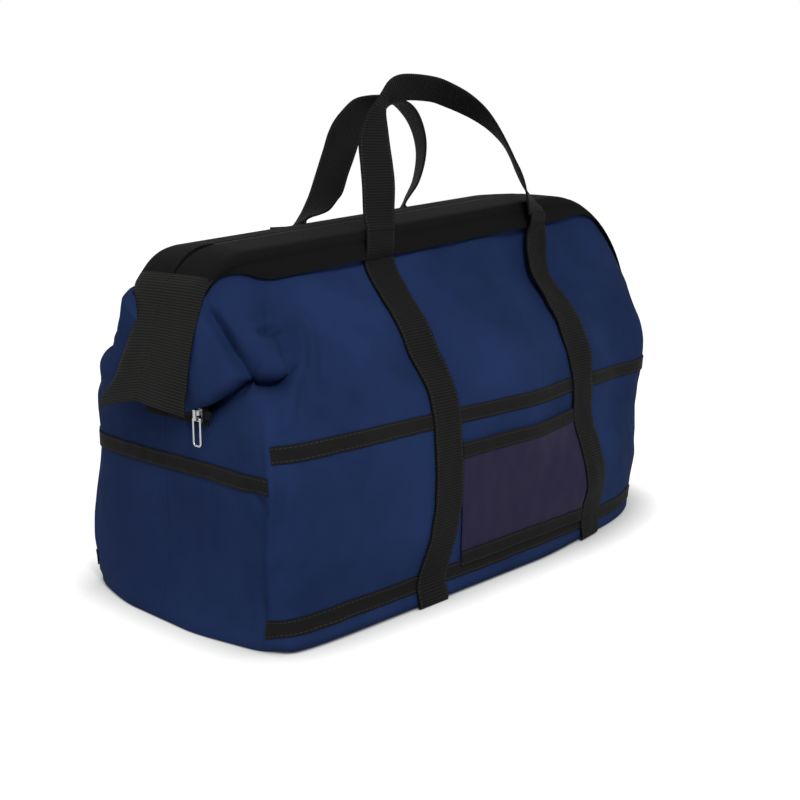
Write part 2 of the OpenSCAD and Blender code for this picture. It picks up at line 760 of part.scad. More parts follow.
// A webbing ribbon along a handle's line, turned as handle_turn says
module webbing_ribbon(line, shift, bend, from, to, last) {
  path = [for (p = line) [p[0] * strap_spacing / 2 / handle_line_x - shift,
    -fold_y + webbing_t / 2 + seat + p[1], fold_z + p[2] * handle_h / handle_line_h]];
  n = len(path);
  ring = [for (i = [0:n - 1])
    let (t = i == 0 ? [0, 0, 1] : i == n - 1 ? [0, 0, -1] : unit(path[i + 1] - path[i - 1]),
      face = unit(cross(t, [0, -1, 0])),
      a = handle_turn(i / (n - 1), bend, from, to, last),
      w = unit(cos(a) * face + sin(a) * [0, 1, 0]), m = unit(cross(t, w)))
    [for (c = [[-1, -1], [1, -1], [1, 1], [-1, 1]])
      path[i] + c[0] * webbing_w / 2 * w + c[1] * webbing_t / 2 * m]];
  faces = [for (i = [0:n - 2]) for (k = [0:3])
    let (p = i * 4 + k, q = i * 4 + (k + 1) % 4)
    each k < 2 ? [[p, p + 4, q], [q, p + 4, q + 4]] : [[p, p + 4, q + 4], [p, q + 4, q]]];
  ends = [[0, 1, 2], [0, 2, 3], [n * 4 - 1, n * 4 - 2, n * 4 - 3], [n * 4 - 1, n * 4 - 3, n * 4 - 4]];
  polyhedron([for (r = ring) each r], concat(faces, ends));
}

module front_handle() {
  color(webbing_black) webbing_ribbon(front_handle_line, 0, 40, 0.2, 0.4, 0.5);
}

module rear_handle() {
  color(webbing_black) at_rear() webbing_ribbon(rear_handle_line, rear_strap_shift, 110, 0.4, 0.66, 0.78);
}

// ---- Tail of the zip, its slider and pull ring, on the flat end ----

tail_z = hinge_z;
tail_front = slider_at + slider_l / 2 + 8;
tail_rear = slider_run - slider_at + slider_l / 2 + 30;
tail_wall = -flat_reach(tail_z) - seat;
tail_l = tail_front + tail_rear;

module zip_tail_tape() {
  w = 2 * zip_tape_w;
  color(webbing_black) translate([tail_wall - zip_tape_t, -tail_front, tail_z - w / 2])
    cube([zip_tape_t, tail_l, w]);
}

module zip_tail_teeth() {
  color(webbing_black) translate([tail_wall - zip_tape_t - teeth_t, -tail_front, tail_z - teeth_w])
    cube([teeth_t, tail_l, 2 * teeth_w]);
}

slider_cap = 1.6;
slider_side = tail_wall - zip_tape_t - seat;
slider_top = slider_side - teeth_t - seat - slider_cap;
bridge_w = 4;
bridge_gap = pull_wire + 2 * seat;
bridge_bar = 1.4;
bridge_l = 10;
pull_x = slider_top - bridge_gap / 2;
pull_z = tail_z - bridge_l / 2 + bridge_bar + pull_wire / 2 + seat / 2;

module zip_slider() {
  color(chrome) {
    difference() {
      translate([slider_top, -slider_at - slider_l / 2, tail_z - slider_w / 2 - 1])
        cube([slider_side - slider_top, slider_l, slider_w + 2]);
      translate([slider_top + slider_cap, -slider_at - slider_l, tail_z - teeth_w - seat])
        cube([slider_cap + teeth_t + 4, 2 * slider_l, 2 * (teeth_w + seat)]);
    }
    difference() {
      translate([slider_top - bridge_gap - bridge_bar, -slider_at - bridge_w / 2,
          tail_z - bridge_l / 2])
        cube([bridge_gap + bridge_bar, bridge_w, bridge_l]);
      translate([slider_top - bridge_gap, -slider_at - bridge_w, tail_z - bridge_l / 2 + bridge_bar])
        cube([bridge_gap + 1, 2 * bridge_w, bridge_l - 2 * bridge_bar]);
    }
  }
}

pull_corner = 3;

// One quarter bend of the pull ring's wire, from +X to +Y
module wire_bend() {
  rotate_extrude(angle = 90, $fn = 48) translate([pull_corner, 0]) circle(d = pull_wire, $fn = 24);
}

module pull_ring() {
  half = (pull_w - pull_wire) / 2 - pull_corner;
  drop = pull_l - pull_wire - 2 * pull_corner;
  color(chrome) translate([pull_x, -slider_at, pull_z]) rotate([0, 0, 90]) rotate([90, 0, 0])
    translate([0, -pull_corner, 0]) {
      for (m = [0, 1]) mirror([m, 0, 0]) {
        translate([half, 0, 0]) wire_bend();
        translate([half, -drop, 0]) rotate([0, 0, -90]) wire_bend();
        translate([half + pull_corner, -drop, 0]) rotate([-90, 0, 0])
          cylinder(d = pull_wire, h = drop, $fn = 24);
        translate([0, pull_corner, 0]) rotate([0, 90, 0]) cylinder(d = pull_wire, h = half, $fn = 24);
        translate([0, -drop - pull_corner, 0]) rotate([0, 90, 0])
          cylinder(d = pull_wire, h = half, $fn = 24);
      }
    }
}

base_panel();
base_board();
front_lower_panel();
rear_lower_panel();
flat_end_panel();
round_end_panel();
front_upper_panel();
rear_upper_panel();
flat_end_front_gusset();
flat_end_rear_gusset();
round_end_front_gusset();
round_end_rear_gusset();
front_side_tape();
rear_side_tape();
flat_end_tape();
round_end_tape();
front_foot_tape();
rear_foot_tape();
patch_panel();
patch_bindings();
front_lower_straps();
rear_lower_straps();
front_upper_straps();
rear_upper_straps();
hinge_anchors();
hinge_rivets();
front_frame_rod();
rear_frame_rod();
front_hinge_plates();
rear_hinge_plates();
front_mouth_band();
rear_mouth_band();
front_end_tabs();
rear_end_tabs();
front_zip_tape();
rear_zip_tape();
front_zip_teeth();
rear_zip_teeth();
front_strap_heads();
rear_strap_heads();
front_handle();
rear_handle();
zip_tail_tape();
zip_tail_teeth();
zip_slider();
pull_ring();
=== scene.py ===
"""Dresses the wide-mouth carry bag: soft shells, webbing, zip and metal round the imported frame."""

import json
import logging
import math
from dataclasses import dataclass, field, replace
from enum import Enum
from typing import Callable, Sequence

import bmesh
import bpy
import numpy as np
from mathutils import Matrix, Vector, noise


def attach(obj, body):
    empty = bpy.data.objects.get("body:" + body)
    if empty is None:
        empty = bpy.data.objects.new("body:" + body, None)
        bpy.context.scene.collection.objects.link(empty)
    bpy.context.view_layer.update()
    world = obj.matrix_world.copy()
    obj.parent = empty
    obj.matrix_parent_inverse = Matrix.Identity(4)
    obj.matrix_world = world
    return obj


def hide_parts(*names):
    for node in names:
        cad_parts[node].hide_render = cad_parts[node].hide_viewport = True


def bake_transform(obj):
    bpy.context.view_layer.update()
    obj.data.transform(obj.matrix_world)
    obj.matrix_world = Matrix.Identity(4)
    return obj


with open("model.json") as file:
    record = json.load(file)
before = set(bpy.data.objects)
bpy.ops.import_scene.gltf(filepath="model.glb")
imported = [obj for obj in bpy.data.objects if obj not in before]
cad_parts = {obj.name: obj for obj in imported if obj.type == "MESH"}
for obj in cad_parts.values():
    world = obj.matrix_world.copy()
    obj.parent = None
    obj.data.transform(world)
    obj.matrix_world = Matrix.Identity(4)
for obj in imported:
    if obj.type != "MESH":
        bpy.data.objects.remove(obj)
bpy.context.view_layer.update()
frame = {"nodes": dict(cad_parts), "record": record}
LOG = logging.getLogger("carry_bag")
Array = np.ndarray
Place = Callable[[Array, Array], Array]
Triple = tuple[float, float, float]


class Half(Enum):
    """The two halves of the bag on either side of its zip."""

    FRONT = -1
    REAR = 1

    @property
    def word(self) -> str:
        """Returns the half's name."""
        return self.name.lower()

    @property
    def mouth(self) -> str:
        """Returns the body that carries this half of the mouth."""
        return f"{self.word}_mouth"


def eased(value: Array, start: Array | float, end: Array | float) -> Array:
    """Returns an eased ramp of value: 0 at start and 1 at end, which may be the lower of the two."""
    k = np.clip((value - start) / (end - start), 0.0, 1.0)
    return k * k * (3.0 - 2.0 * k)


def unit(v: Array) -> Array:
    """Returns rows of v at length one."""
    return v / np.maximum(np.linalg.norm(v, axis=-1, keepdims=True), 1e-9)


def bell(d: Array, width: float) -> Array:
    """Returns a bell curve of distance d with the given half width."""
    return np.exp(-((d / width) ** 2))


def ripple(p: Array, waves: float | Triple, shift: Triple = (0, 0, 0)) -> Array:
    """Returns smooth noise from -1 to 1 at points p, with about so many waves a metre."""
    return np.array([noise.noise(Vector(q)) for q in p * np.array(waves) + np.array(shift)])


# ---- Form of the bag ----


@dataclass(frozen=True)
class MouthPath:
    """Line of the mouth in the x-z plane: up the flat end, along the ridge, down the rounded end.

    Attributes:
        ridge_z: Height of the ridge at x = 0.
        ridge_lean: Rise of the ridge for each metre of x.
        foot_z: Height of the line's two ends.
        flat_foot_x: Place of its end at the flat end.
        round_foot_x: Place of its end at the rounded end.
        leg_lean: Angle of the end stretches off upright.
        flat_r: Radius of the corner at the flat end.
        round_r: Radius of the corner at the rounded end.
        band_h: How far the band turns down along the ridge.
        half_width: Half width of the mouth along the ridge.
        tab_top_half: Half width at the top of the tabs.
        tab_foot_half: Half width at their foot.
        tab_flare: Power with which the tabs widen.
        tab_lip: How far the band turns down at the tabs.
        taper: Share of the round corner over which the band narrows.
        flat_taper: Length over which it grows at the flat end, in corners.
    """

    ridge_z: float = 0.384
    ridge_lean: float = 0.088
    foot_z: float = 0.219
    flat_foot_x: float = -0.386
    round_foot_x: float = 0.370
    leg_lean: float = math.radians(20)
    flat_r: float = 0.065
    round_r: float = 0.180
    band_h: float = 0.0298
    half_width: float = 0.062
    tab_top_half: float = 0.0555
    tab_foot_half: float = 0.068
    tab_flare: float = 2.4
    tab_lip: float = 0.0015
    taper: float = 0.6
    flat_taper: float = 1.35

    @property
    def rise(self) -> float:
        """Returns the ridge's angle above level."""
        return math.atan(self.ridge_lean)

    def meeting(self, side: int) -> tuple[float, float]:
        """Returns where a leg's line meets the ridge line.

        Args:
            side: -1 at the flat end, 1 at the rounded end.

        Returns:
            The point as x and z.
        """
        foot = self.flat_foot_x if side < 0 else self.round_foot_x
        k = -side * math.tan(self.leg_lean)
        z = (self.ridge_z + self.ridge_lean * (foot - k * self.foot_z)) / (1 - self.ridge_lean * k)
        return foot + k * (z - self.foot_z), z

    @property
    def turns(self) -> tuple[float, float]:
        """Returns how far the line turns at each corner."""
        quarter = math.pi / 2
        return quarter - self.leg_lean - self.rise, quarter - self.leg_lean + self.rise

    @property
    def marks(self) -> tuple[float, float, float, float, float]:
        """Returns the distances along the line where its stretches end."""
        (fx, fz), (rx, rz) = self.meeting(-1), self.meeting(1)
        flat_turn, round_turn = self.turns
        flat_cut = self.flat_r * math.tan(flat_turn / 2)
        round_cut = self.round_r * math.tan(round_turn / 2)
        one = math.hypot(fx - self.flat_foot_x, fz - self.foot_z) - flat_cut
        two = one + self.flat_r * flat_turn
        three = two + math.hypot(rx - fx, rz - fz) - flat_cut - round_cut
        four = three + self.round_r * round_turn
        five = four + math.hypot(rx - self.round_foot_x, rz - self.foot_z) - round_cut
        return one, two, three, four, five

    def heading(self, s: Array) -> Array:
        """Returns the line's angle above +X.

        Args:
            s: Distances along the line.

        Returns:
            Angles in radians.
        """
        one, two, three, four, _ = self.marks
        up = math.pi / 2 - self.leg_lean
        first = np.clip((s - one) / (two - one), 0, 1)
        second = np.clip((s - three) / (four - three), 0, 1)
        return up - first * self.turns[0] - second * self.turns[1]

    def point(self, s: Array) -> tuple[Array, Array]:
        """Returns the line's place in the x-z plane.

        Args:
            s: Distances along the line.

        Returns:
            The x and the z of each point.
        """
        one, two, three, four, _ = self.marks
        up = math.pi / 2 - self.leg_lean
        h = self.heading(s)
        x, z = self.flat_foot_x, self.foot_z
        lengths = (np.minimum(s, one), np.clip(s - two, 0, three - two), np.maximum(s - four, 0))
        for length, way in zip(lengths, (up, self.rise, h)):
            x, z = x + length * np.cos(way), z + length * np.sin(way)
        for radius, old, new, on in ((self.flat_r, up, np.where(s < two, h, self.rise), s > one),
                                     (self.round_r, self.rise, h, s > three)):
            x = x + radius * (np.sin(old) - np.sin(new)) * on
            z = z + radius * (np.cos(new) - np.cos(old)) * on
        return x, z

    def at_x(self, x: Array) -> Array:
        """Returns the distance along the line at which the ridge, drawn straight, passes x."""
        two = self.marks[1]
        return two + (x - self.point(np.array([two]))[0][0]) / math.cos(self.rise)

    def band_part(self, s: Array) -> Array:
        """Returns how much of the band's full width is there.

        Args:
            s: Distances along the line.

        Returns:
            0 on the tabs, 1 along the ridge.
        """
        one, two, three, four, _ = self.marks
        taper = self.taper * (four - three)
        return eased(s, one, two) * eased(s, three + taper, three)

    def drop_part(self, s: Array) -> Array:
        """Returns how much of the band's full height is there, which grows slowly at the flat end.

        Args:
            s: Distances along the line.

        Returns:
            0 on the tabs, 1 along the ridge.
        """
        one, two, three, four, _ = self.marks
        taper = self.taper * (four - three)
        return eased(s, one, one + self.flat_taper * (two - one)) * eased(s, three + taper, three)

    def skin_half(self, s: Array) -> Array:
        """Returns the mouth's half width.

        Args:
            s: Distances along the line.

        Returns:
            Half widths.
        """
        one, _, _, four, five = self.marks
        spread = self.tab_foot_half - self.tab_top_half
        middle = self.tab_top_half + (self.half_width - self.tab_top_half) * self.band_part(s)
        foot = np.clip((one - s) / one, 0, 1) + np.clip((s - four) / (five - four), 0, 1)
        return middle + spread * foot ** self.tab_flare

    def skin_drop(self, s: Array) -> Array:
        """Returns how far the band turns down at distance s."""
        return self.tab_lip + (self.band_h - self.tab_lip) * self.drop_part(s)

    def beside(self, s: Array, side: Array, drop: Array) -> Array:
        """Returns points beside the line.

        Args:
            s: Distances along the line.
            side: Distances towards the front.
            drop: Distances inwards from the line.

        Returns:
            Points, one a row.
        """
        x, z = self.point(s)
        h = self.heading(s)
        return np.stack([x + drop * np.sin(h), -side + 0 * s, z - drop * np.cos(h)], axis=-1)


@dataclass(frozen=True)
class Fold:
    """A crease of the fabric, or a roll that hangs over it, along a line on one half.

    Attributes:
        line: Points of the fold as direction angle in degrees and height, as BagForm.fabric takes them.
        depth: Depth of the valley along the line, or minus the height of a ridge.
        width: Half width of the valley.
        ends: Share of the line over which the fold runs out at its start and at its end.
        half: The half of the bag that has the fold.
        roll: How far the roll above the line stands out.
        reach: Height over which the roll runs out.
        droop: How far the roll hangs down over the line.
    """

    line: tuple[tuple[float, float], ...]
    depth: float
    width: float
    ends: tuple[float, float] = (0.4, 0.4)
    half: Half = Half.FRONT
    roll: float = 0.0
    reach: float = 0.05
    droop: float = 0.0

    def measure(self, p: Array, up: Array, points: Array) -> tuple[Array, Array, Array]:
        """Measures points against the fold's line.

        Args:
            p: Points, one a row.
            up: Direction at each point that counts as above the line.
            points: The line's own points.

        Returns:
            Distance, the same signed by side, and a fade towards the line's two ends.
        """
        best = np.full(len(p), 1e9)
        away = np.zeros_like(p)
        along = np.zeros(len(p))
        legs = np.linalg.norm(np.diff(points, axis=0), axis=1)
        total, gone = legs.sum(), 0.0
        for a, b, leg in zip(points[:-1], points[1:], legs):
            t = np.clip(((p - a) @ (b - a)) / (leg * leg), 0, 1)
            q = p - (a + t[:, None] * (b - a))
            d = np.linalg.norm(q, axis=1)
            near = d < best
            best = np.where(near, d, best)
            away = np.where(near[:, None], q, away)
            along = np.where(near, (gone + t * leg) / total, along)
            gone += leg
        side = np.sign(np.einsum("ij,ij->i", away, up))
        fade = eased(along, 0, self.ends[0]) * eased(along, 1, 1 - self.ends[1])
        return best, best * side, fade

    def lift(self, distance: Array, signed: Array, fade: Array) -> tuple[Array, Array]:
        """Returns how the fabric moves beside the fold.

        Args:
            distance: Distances from the fold's line.
            signed: The same, but minus below the line.
            fade: Fade towards the line's two ends.

        Returns:
            How far each point moves out, and how far down.
        """
        above = signed > 0
        lip = (1 - np.exp(-distance / 0.003)) * bell(distance, self.reach) * above
        valley = bell(distance, self.width) * np.where(above & (self.roll > 0), np.exp(-distance / 0.004), 1)
        down = self.droop * bell(distance, self.reach * 0.35) * above * (1 - np.exp(-distance / 0.002))
        return (self.roll * lip - self.depth * valley) * fade, down * fade


@dataclass(frozen=True)
class BagForm:
    """Lines of the bag's body, in metres, with the bag standing on z = 0 and its front towards -Y.

    The plan is a superellipse: a "square" is its power, and a higher one makes sharper corners.

    Attributes:
        flat_end_reach: How far the flat end stands from the middle.
        floor_flare: How much further it reaches at the floor.
        floor_flare_h: Height over which that flare runs out.
        round_end_reach: How far the rounded end stands from the middle.
        floor_half_depth: Half depth of the bag at the floor.
        belly_half_depth: Its half depth at the belly.
        belly_z: Height of the belly.
        shoulder_z: Height from which the body leans in.
        shoulder_power: Power of that lean.
        flat_end_square: Square of the flat end above the shoulder.
        floor_square: The same at the floor.
        seam_square: The same just above the floor.
        upper_square: The same from there to the shoulder.
        round_end_square: Square of the rounded end.
        waist_square: What the waist adds to it.
        waist_z: Height of the waist, where the upper fabric is measured.
        join_z: Height where the lower fabric passes to the upper.
        rise_pull: How strongly the upper fabric keeps the lean of the lower at the flat end.
        narrowing: How much the body draws in beside the right-hand strap.
        low_belly: How much it bulges under that.
        foot_tuck: Share by which the foot draws in near the rounded end.
        hang_in: How far the front's upper panel hangs in beside the straps.
        floor_r: Radius of the floor's edge.
        seam_ridge: Height of the ridge along the flat end's sewn corners.
        foot_bulge: How far the front's foot bulges.
        foot_bulge_to: Place along x where that bulge ends.
        tuck: How far the fabric reaches in under the band.
        edge_in: How far inside the band's face it ends.
        tab_edges: Directions of the tabs' outer edges at the flat and the rounded end.
        corners: Directions of the mouth's corners at the flat and the rounded end.
        mouth: Line of the mouth.
        folds: Creases of the fabric.
    """

    flat_end_reach: float = 0.358
    floor_flare: float = 0.018
    floor_flare_h: float = 0.085
    round_end_reach: float = 0.348
    floor_half_depth: float = 0.159
    belly_half_depth: float = 0.161
    belly_z: float = 0.130
    shoulder_z: float = 0.165
    shoulder_power: float = 1.7
    flat_end_square: float = 8.0
    floor_square: float = 12.0
    seam_square: float = 18.0
    upper_square: float = 18.0
    round_end_square: float = 2.8
    waist_square: float = 0.8
    waist_z: float = 0.222
    join_z: float = 0.200
    rise_pull: float = 1.0
    narrowing: float = 0.020
    low_belly: float = 0.007
    foot_tuck: float = 0.03
    hang_in: float = 0.015
    floor_r: float = 0.005
    seam_ridge: float = 0.0035
    foot_bulge: float = 0.009
    foot_bulge_to: float = 0.16
    tuck: float = 0.002
    edge_in: float = 0.0057
    tab_edges: tuple[float, float] = (207.0, 333.0)
    corners: tuple[float, float] = (225.0, 315.0)
    mouth: MouthPath = field(default_factory=MouthPath)
    folds: tuple[Fold, ...] = ()

    def squareness(self, flat: Array, z: Array) -> Array:
        """Returns the power of the plan's superellipse.

        Args:
            flat: Whether each point is on the flat end's half.
            z: Heights.

        Returns:
            Powers, higher for sharper corners.
        """
        rise = np.maximum(0, (z - self.belly_z) / (self.waist_z - self.belly_z))
        sewn = self.floor_square + (self.seam_square - self.floor_square) * eased(z, 0, 0.05)
        sewn = sewn + (self.upper_square - self.seam_square) * eased(z, 0.06, 0.15)
        ends = np.where(z > self.join_z + 1e-6, self.flat_end_square, sewn)
        return np.where(flat, ends, self.round_end_square + self.waist_square * rise)

    def outline(self, a: Array, z: Array) -> Array:
        """Returns points of the plan outline.

        Args:
            a: Directions in degrees.
            z: Heights.

        Returns:
            Points, one a row.
        """
        ar = np.radians(a)
        c, s = np.cos(ar), np.sin(ar)
        flat = c < 0
        n = self.squareness(flat, z)
        r = (np.abs(c) ** n + np.abs(s) ** n) ** (-1 / n)
        y = self.half_depth(z) * r * s
        flare = self.floor_flare * np.maximum(0, 1 - z / self.floor_flare_h) ** 2
        flare = flare * (1 - 0.8 * eased(np.abs(y), 0.04, 0.14))
        x = np.where(flat, self.flat_end_reach + flare, self.round_end_reach) * r * c
        tucked = 1 - self.foot_tuck * bell(a - 326, 13) * eased(z, 0.07, 0)
        x, y = x * tucked, y * tucked
        drawn = self.narrowing * eased(z, 0.09, 0.16) - self.low_belly * bell(z - 0.072, 0.028)
        beside_strap = eased(x, 0, 0.13) * eased(x, 0.33, 0.21) * eased(np.abs(y), 0, 0.1)
        return np.stack([x, y + drawn * beside_strap * np.sign(-s), z + 0 * a], axis=-1)

    def half_depth(self, z: Array) -> Array:
        """Returns the body's half depth.

        Args:
            z: Heights.

        Returns:
            Half depths.
        """
        belly = self.belly_half_depth
        low = belly - (belly - self.floor_half_depth) * np.clip(1 - z / self.belly_z, 0, 1) ** 2
        top = self.mouth.ridge_z - self.mouth.band_h
        k = np.clip((z - self.shoulder_z) / (top - self.shoulder_z), 0, 1)
        high = belly - (belly - self.mouth.half_width - 0.003) * k ** self.shoulder_power
        return np.where(z < self.shoulder_z, low, high)

    def angle_at(self, x: float) -> float:
        """Returns the direction in which the front's upper outline passes a place.

        Args:
            x: The place along the bag.

        Returns:
            The direction in degrees.
        """
        flat = x < 0
        n = self.flat_end_square if flat else self.round_end_square
        k = abs(x) / (self.flat_end_reach if flat else self.round_end_reach)
        return 270 + math.copysign(math.degrees(math.atan(k / (1 - k ** n) ** (1 / n))), x)

    def waist(self, a: Array) -> Array:
        """Returns the outline at the waist in the directions a."""
        return self.outline(a, np.full_like(a, self.waist_z))

    def above(self, a: Array) -> Array:
        """Returns the distances along the mouth that lie above the outline at angles a."""
        x = self.waist(a)[..., 0]
        return self.mouth.at_x(x * np.where(x < 0, 1 - 0.02 * (-x / 0.325) ** 3, 1 + 0.02 * (x / 0.290) ** 3))

    def top_edge(self, a: Array) -> tuple[Array, Array]:
        """Returns the fabric's top edge, under the band.

        Args:
            a: Directions in degrees.

        Returns:
            Points of the edge, and the directions in which the fabric reaches them.
        """
        m = self.mouth
        one, _, _, four, _ = m.marks
        flat = a < 270
        corner = np.where(flat, *self.corners)
        tab_edge = np.where(flat, *self.tab_edges)
        leg = np.where(flat, one, four)
        past = np.where(flat, corner - a, a - corner)
        width = np.abs(tab_edge - corner)
        turn = leg + (self.above(corner) - leg) * np.clip(1 - past / width, 0, 1)
        s = np.where(past <= 0, self.above(a), turn)
        share = np.where(past > width, self.waist(a)[..., 1] / self.waist(tab_edge)[..., 1], 1)
        side = m.skin_half(s) + 0.003 * m.band_part(s) - self.edge_in
        drop = np.maximum(m.skin_drop(s) - self.tuck, 0.003)
        h = m.heading(s)
        k = m.band_part(s) ** 0.5
        sign = np.where(flat, 1.0, -1.0)
        way = np.stack([(1 - k) * sign * np.cos(h) - k * np.sin(h), 0 * a,
                        (1 - k) * sign * np.sin(h) + k * np.cos(h)], axis=-1)
        return m.beside(s, side * share, drop), unit(way)

    def fabric(self, a: Array, t: Array) -> Array:
        """Returns points of the plain fabric.

        Args:
            a: Directions in degrees.
            t: Heights: 0 at the floor, 1 at join_z and 2 at the band.

        Returns:
            Points, one a row.
        """
        z = np.clip(t, 0, 1) * self.join_z
        low = self.outline(a, z)
        inset = self.floor_r * (1 - np.sqrt(1 - np.clip(1 - z / self.floor_r, 0, 1) ** 2))
        low = low - unit(low * np.array([1, 1, 0])) * inset[..., None]
        foot = self.outline(a, np.full_like(a, self.join_z))
        rise = unit(foot - self.outline(a, np.full_like(a, self.join_z - 0.004)))
        head, way = self.top_edge(a)
        k = np.clip(t - 1, 0, 1)[..., None]
        side = eased(np.abs(np.sin(np.radians(a))), 0.35, 0.85)[..., None]
        pull = (1 - (1 - self.rise_pull) * eased(a, 240, 226))[..., None]
        start, end = pull * (0.12 + 0.08 * side), 0.06 + 0.02 * side
        k2, k3 = k * k, k * k * k
        high = ((2 * k3 - 3 * k2 + 1) * foot + (k3 - 2 * k2 + k) * start * rise
                + (3 * k2 - 2 * k3) * head + (k3 - k2) * end * way)
        return np.where((t <= 1)[..., None], low, high)

    def outward(self, a: Array, t: Array) -> tuple[Array, Array]:
        """Returns the plain fabric's own directions.

        Args:
            a: Directions in degrees.
            t: Heights, as fabric takes them.

        Returns:
            The outward and the upward direction at each point.
        """
        da = self.fabric(a + 0.4, t) - self.fabric(a - 0.4, t)
        dt = self.fabric(a, np.minimum(t + 0.01, 2)) - self.fabric(a, np.maximum(t - 0.01, 0.02))
        return unit(np.cross(da, dt)), unit(dt)

    def seam_at(self, t: Array) -> Array:
        """Returns the direction angle of the sewn corner at the flat end at heights t."""
        return np.interp(t, (0, 0.95, 1.3), (222.3, 223.4, 225.0))

    def surface(self, a: Array, t: Array, half: Half, off: float = 0.0, detail: float = 1.0) -> Array:
        """Returns points of the creased fabric.

        Args:
            a: Direction angles in degrees, from 180 to 360, on the front; the rear mirrors them.
            t: Heights, as fabric takes them.
            half: The half of the bag.
            off: Distance off the fabric.
            detail: Share of the folds and wrinkles that is followed.

        Returns:
            Points, one a row.
        """
        p = self.fabric(a, t)
        out, up = self.outward(a, t)
        past_seam = a - self.seam_at(t)
        shift = self.seam_ridge * bell(past_seam, 1.0) * eased(t, 0, 0.05) * eased(t, 1.25, 1)
        if half is Half.FRONT:
            x, _, z = p.T
            foot = bell(z - 0.003, 0.013) * eased(x, self.foot_bulge_to, self.foot_bulge_to - 0.15)
            hung = bell(z - 0.322, 0.032) * (bell(x - 0.125, 0.075) + 0.4 * bell(x + 0.13, 0.06))
            shift = shift + self.foot_bulge * foot * eased(past_seam, 0, 4) - self.hang_in * hung
        fall = np.zeros(len(p))
        for fold in (fold for fold in self.folds if fold.half is half):
            line = self.fabric(*np.array(fold.line).T)
            out_by, down_by = fold.lift(*fold.measure(p, up, line))
            shift, fall = shift + out_by, fall + down_by
        mirror = np.array([1, -half.value, 1])
        shift = shift + wrinkles(p * mirror, t)
        p = p + detail * (out * shift[:, None] - up * fall[:, None]) + off * out
        return p * mirror


def wrinkles(p: Array, t: Array) -> Array:
    """Returns the small random wrinkles.

    Args:
        p: Points, one a row.
        t: Their heights, as BagForm.fabric takes them.

    Returns:
        How far each point stands out.
    """
    loose = 0.35 + 0.9 * eased(t, 0.8, 1.3)
    held = eased(t, 0, 0.12) * eased(t, 2, 1.88)
    broad = 0.006 * ripple(p, 7)
    small = 0.0052 * ripple(p, (16, 16, 22), (3, 1, 7))
    fine = 0.0011 * ripple(p, (60, 60, 45), (9, 4, 2))
    return held * (loose * (broad + small) + fine)


# The overhang, the crease under it, then light edges and small creases, and two folds of the back
FOLDS = (
    Fold(((191, 1.12), (201, 1.17), (209, 1.23), (217, 1.29), (222.5, 1.36), (224.5, 1.325), (226.5, 1.308),
          (229.6, 1.30)), 0.016, 0.013, (0.05, 0.15), roll=0.018, droop=0.013),
    Fold(((212.4, 1.83), (214.5, 1.69), (217.2, 1.55), (220.2, 1.44), (223, 1.35)), 0.016, 0.0065,
         (0.25, 0.05)),
    Fold(((213.5, 1.80), (217.5, 1.60), (221.0, 1.49), (223.5, 1.42)), -0.007, 0.008, (0.3, 0.2)),
    Fold(((224.7, 1.48), (227.0, 1.523), (231.4, 1.607)), 0.009, 0.006, (0.3, 0.4)),
    Fold(((223.6, 1.60), (227.0, 1.62), (230.5, 1.66)), 0.005, 0.007),
    Fold(((227.0, 1.443), (228.2, 1.374), (229.2, 1.308)), 0.008, 0.006, (0.5, 0.1)),
    Fold(((233.9, 1.746), (231.2, 1.407), (229.6, 1.297), (228.7, 1.261), (227.4, 1.148), (225.3, 1.0)),
         -0.007, 0.008, (0.4, 0.1)),
    Fold(((237.0, 1.72), (234.5, 1.42), (232.5, 1.22), (231, 1.05)), 0.005, 0.008),
    Fold(((225.6, 1.02), (224.4, 0.72), (223.9, 0.45)), 0.005, 0.007, (0.3, 0.4)),
    Fold(((218.0, 0.80), (221.0, 0.70), (223.0, 0.66)), 0.004, 0.007, (0.5, 0.1)),
    Fold(((223.2, 0.42), (226.0, 0.36), (230.0, 0.33)), 0.004, 0.008, (0.1, 0.5)),
    Fold(((219.5, 0.30), (222.0, 0.20), (222.6, 0.10)), 0.005, 0.008, (0.4, 0.2)),
    Fold(((205, 1.93), (211, 1.72), (216, 1.45), (222, 1.15)), -0.013, 0.045, (0.05, 0.4), Half.REAR),
    Fold(((210, 1.42), (218, 1.38), (226, 1.40)), 0.009, 0.009, (0.3, 0.4), Half.REAR),
)


# ---- Making pieces ----


def sheet(name: str, cols: int, rows: int, place: Place, size: tuple[float, float],
          flip: bool = False, spread: Place | None = None) -> bpy.types.Object:
    """Makes a piece of cloth from a grid that is moved into shape.

    Args:
        name: The piece's name.
        cols: Faces across.
        rows: Faces upwards.
        place: Gives points for u and v, each from 0 to 1.
        size: Width and height of the cloth, for its weave.
        flip: Whether the grid has to be turned to face outwards.
        spread: Gives the cloth's own map for u and v, where the grid isn't even.

    Returns:
        The new object.
    """
    bm = bmesh.new()
    cloth = bm.loops.layers.uv.new("cloth")
    bmesh.ops.create_grid(bm, x_segments=cols, y_segments=rows, size=1.0)
    bm.verts.index_update()
    flat = np.array([v.co[:2] for v in bm.verts])
    u, v = (flat[:, 0] + 1) / 2, (flat[:, 1] + 1) / 2
    mapped = spread(u, v) if spread else np.stack([u * size[0], v * size[1]], axis=-1)
    for face in bm.faces:
        for loop in face.loops:
            loop[cloth].uv = mapped[loop.vert.index]
    points = place(u, v)
    for vert, point in zip(bm.verts, points):
        vert.co = point
    if flip:
        bmesh.ops.reverse_faces(bm, faces=bm.faces)
    return settle(name, bm)


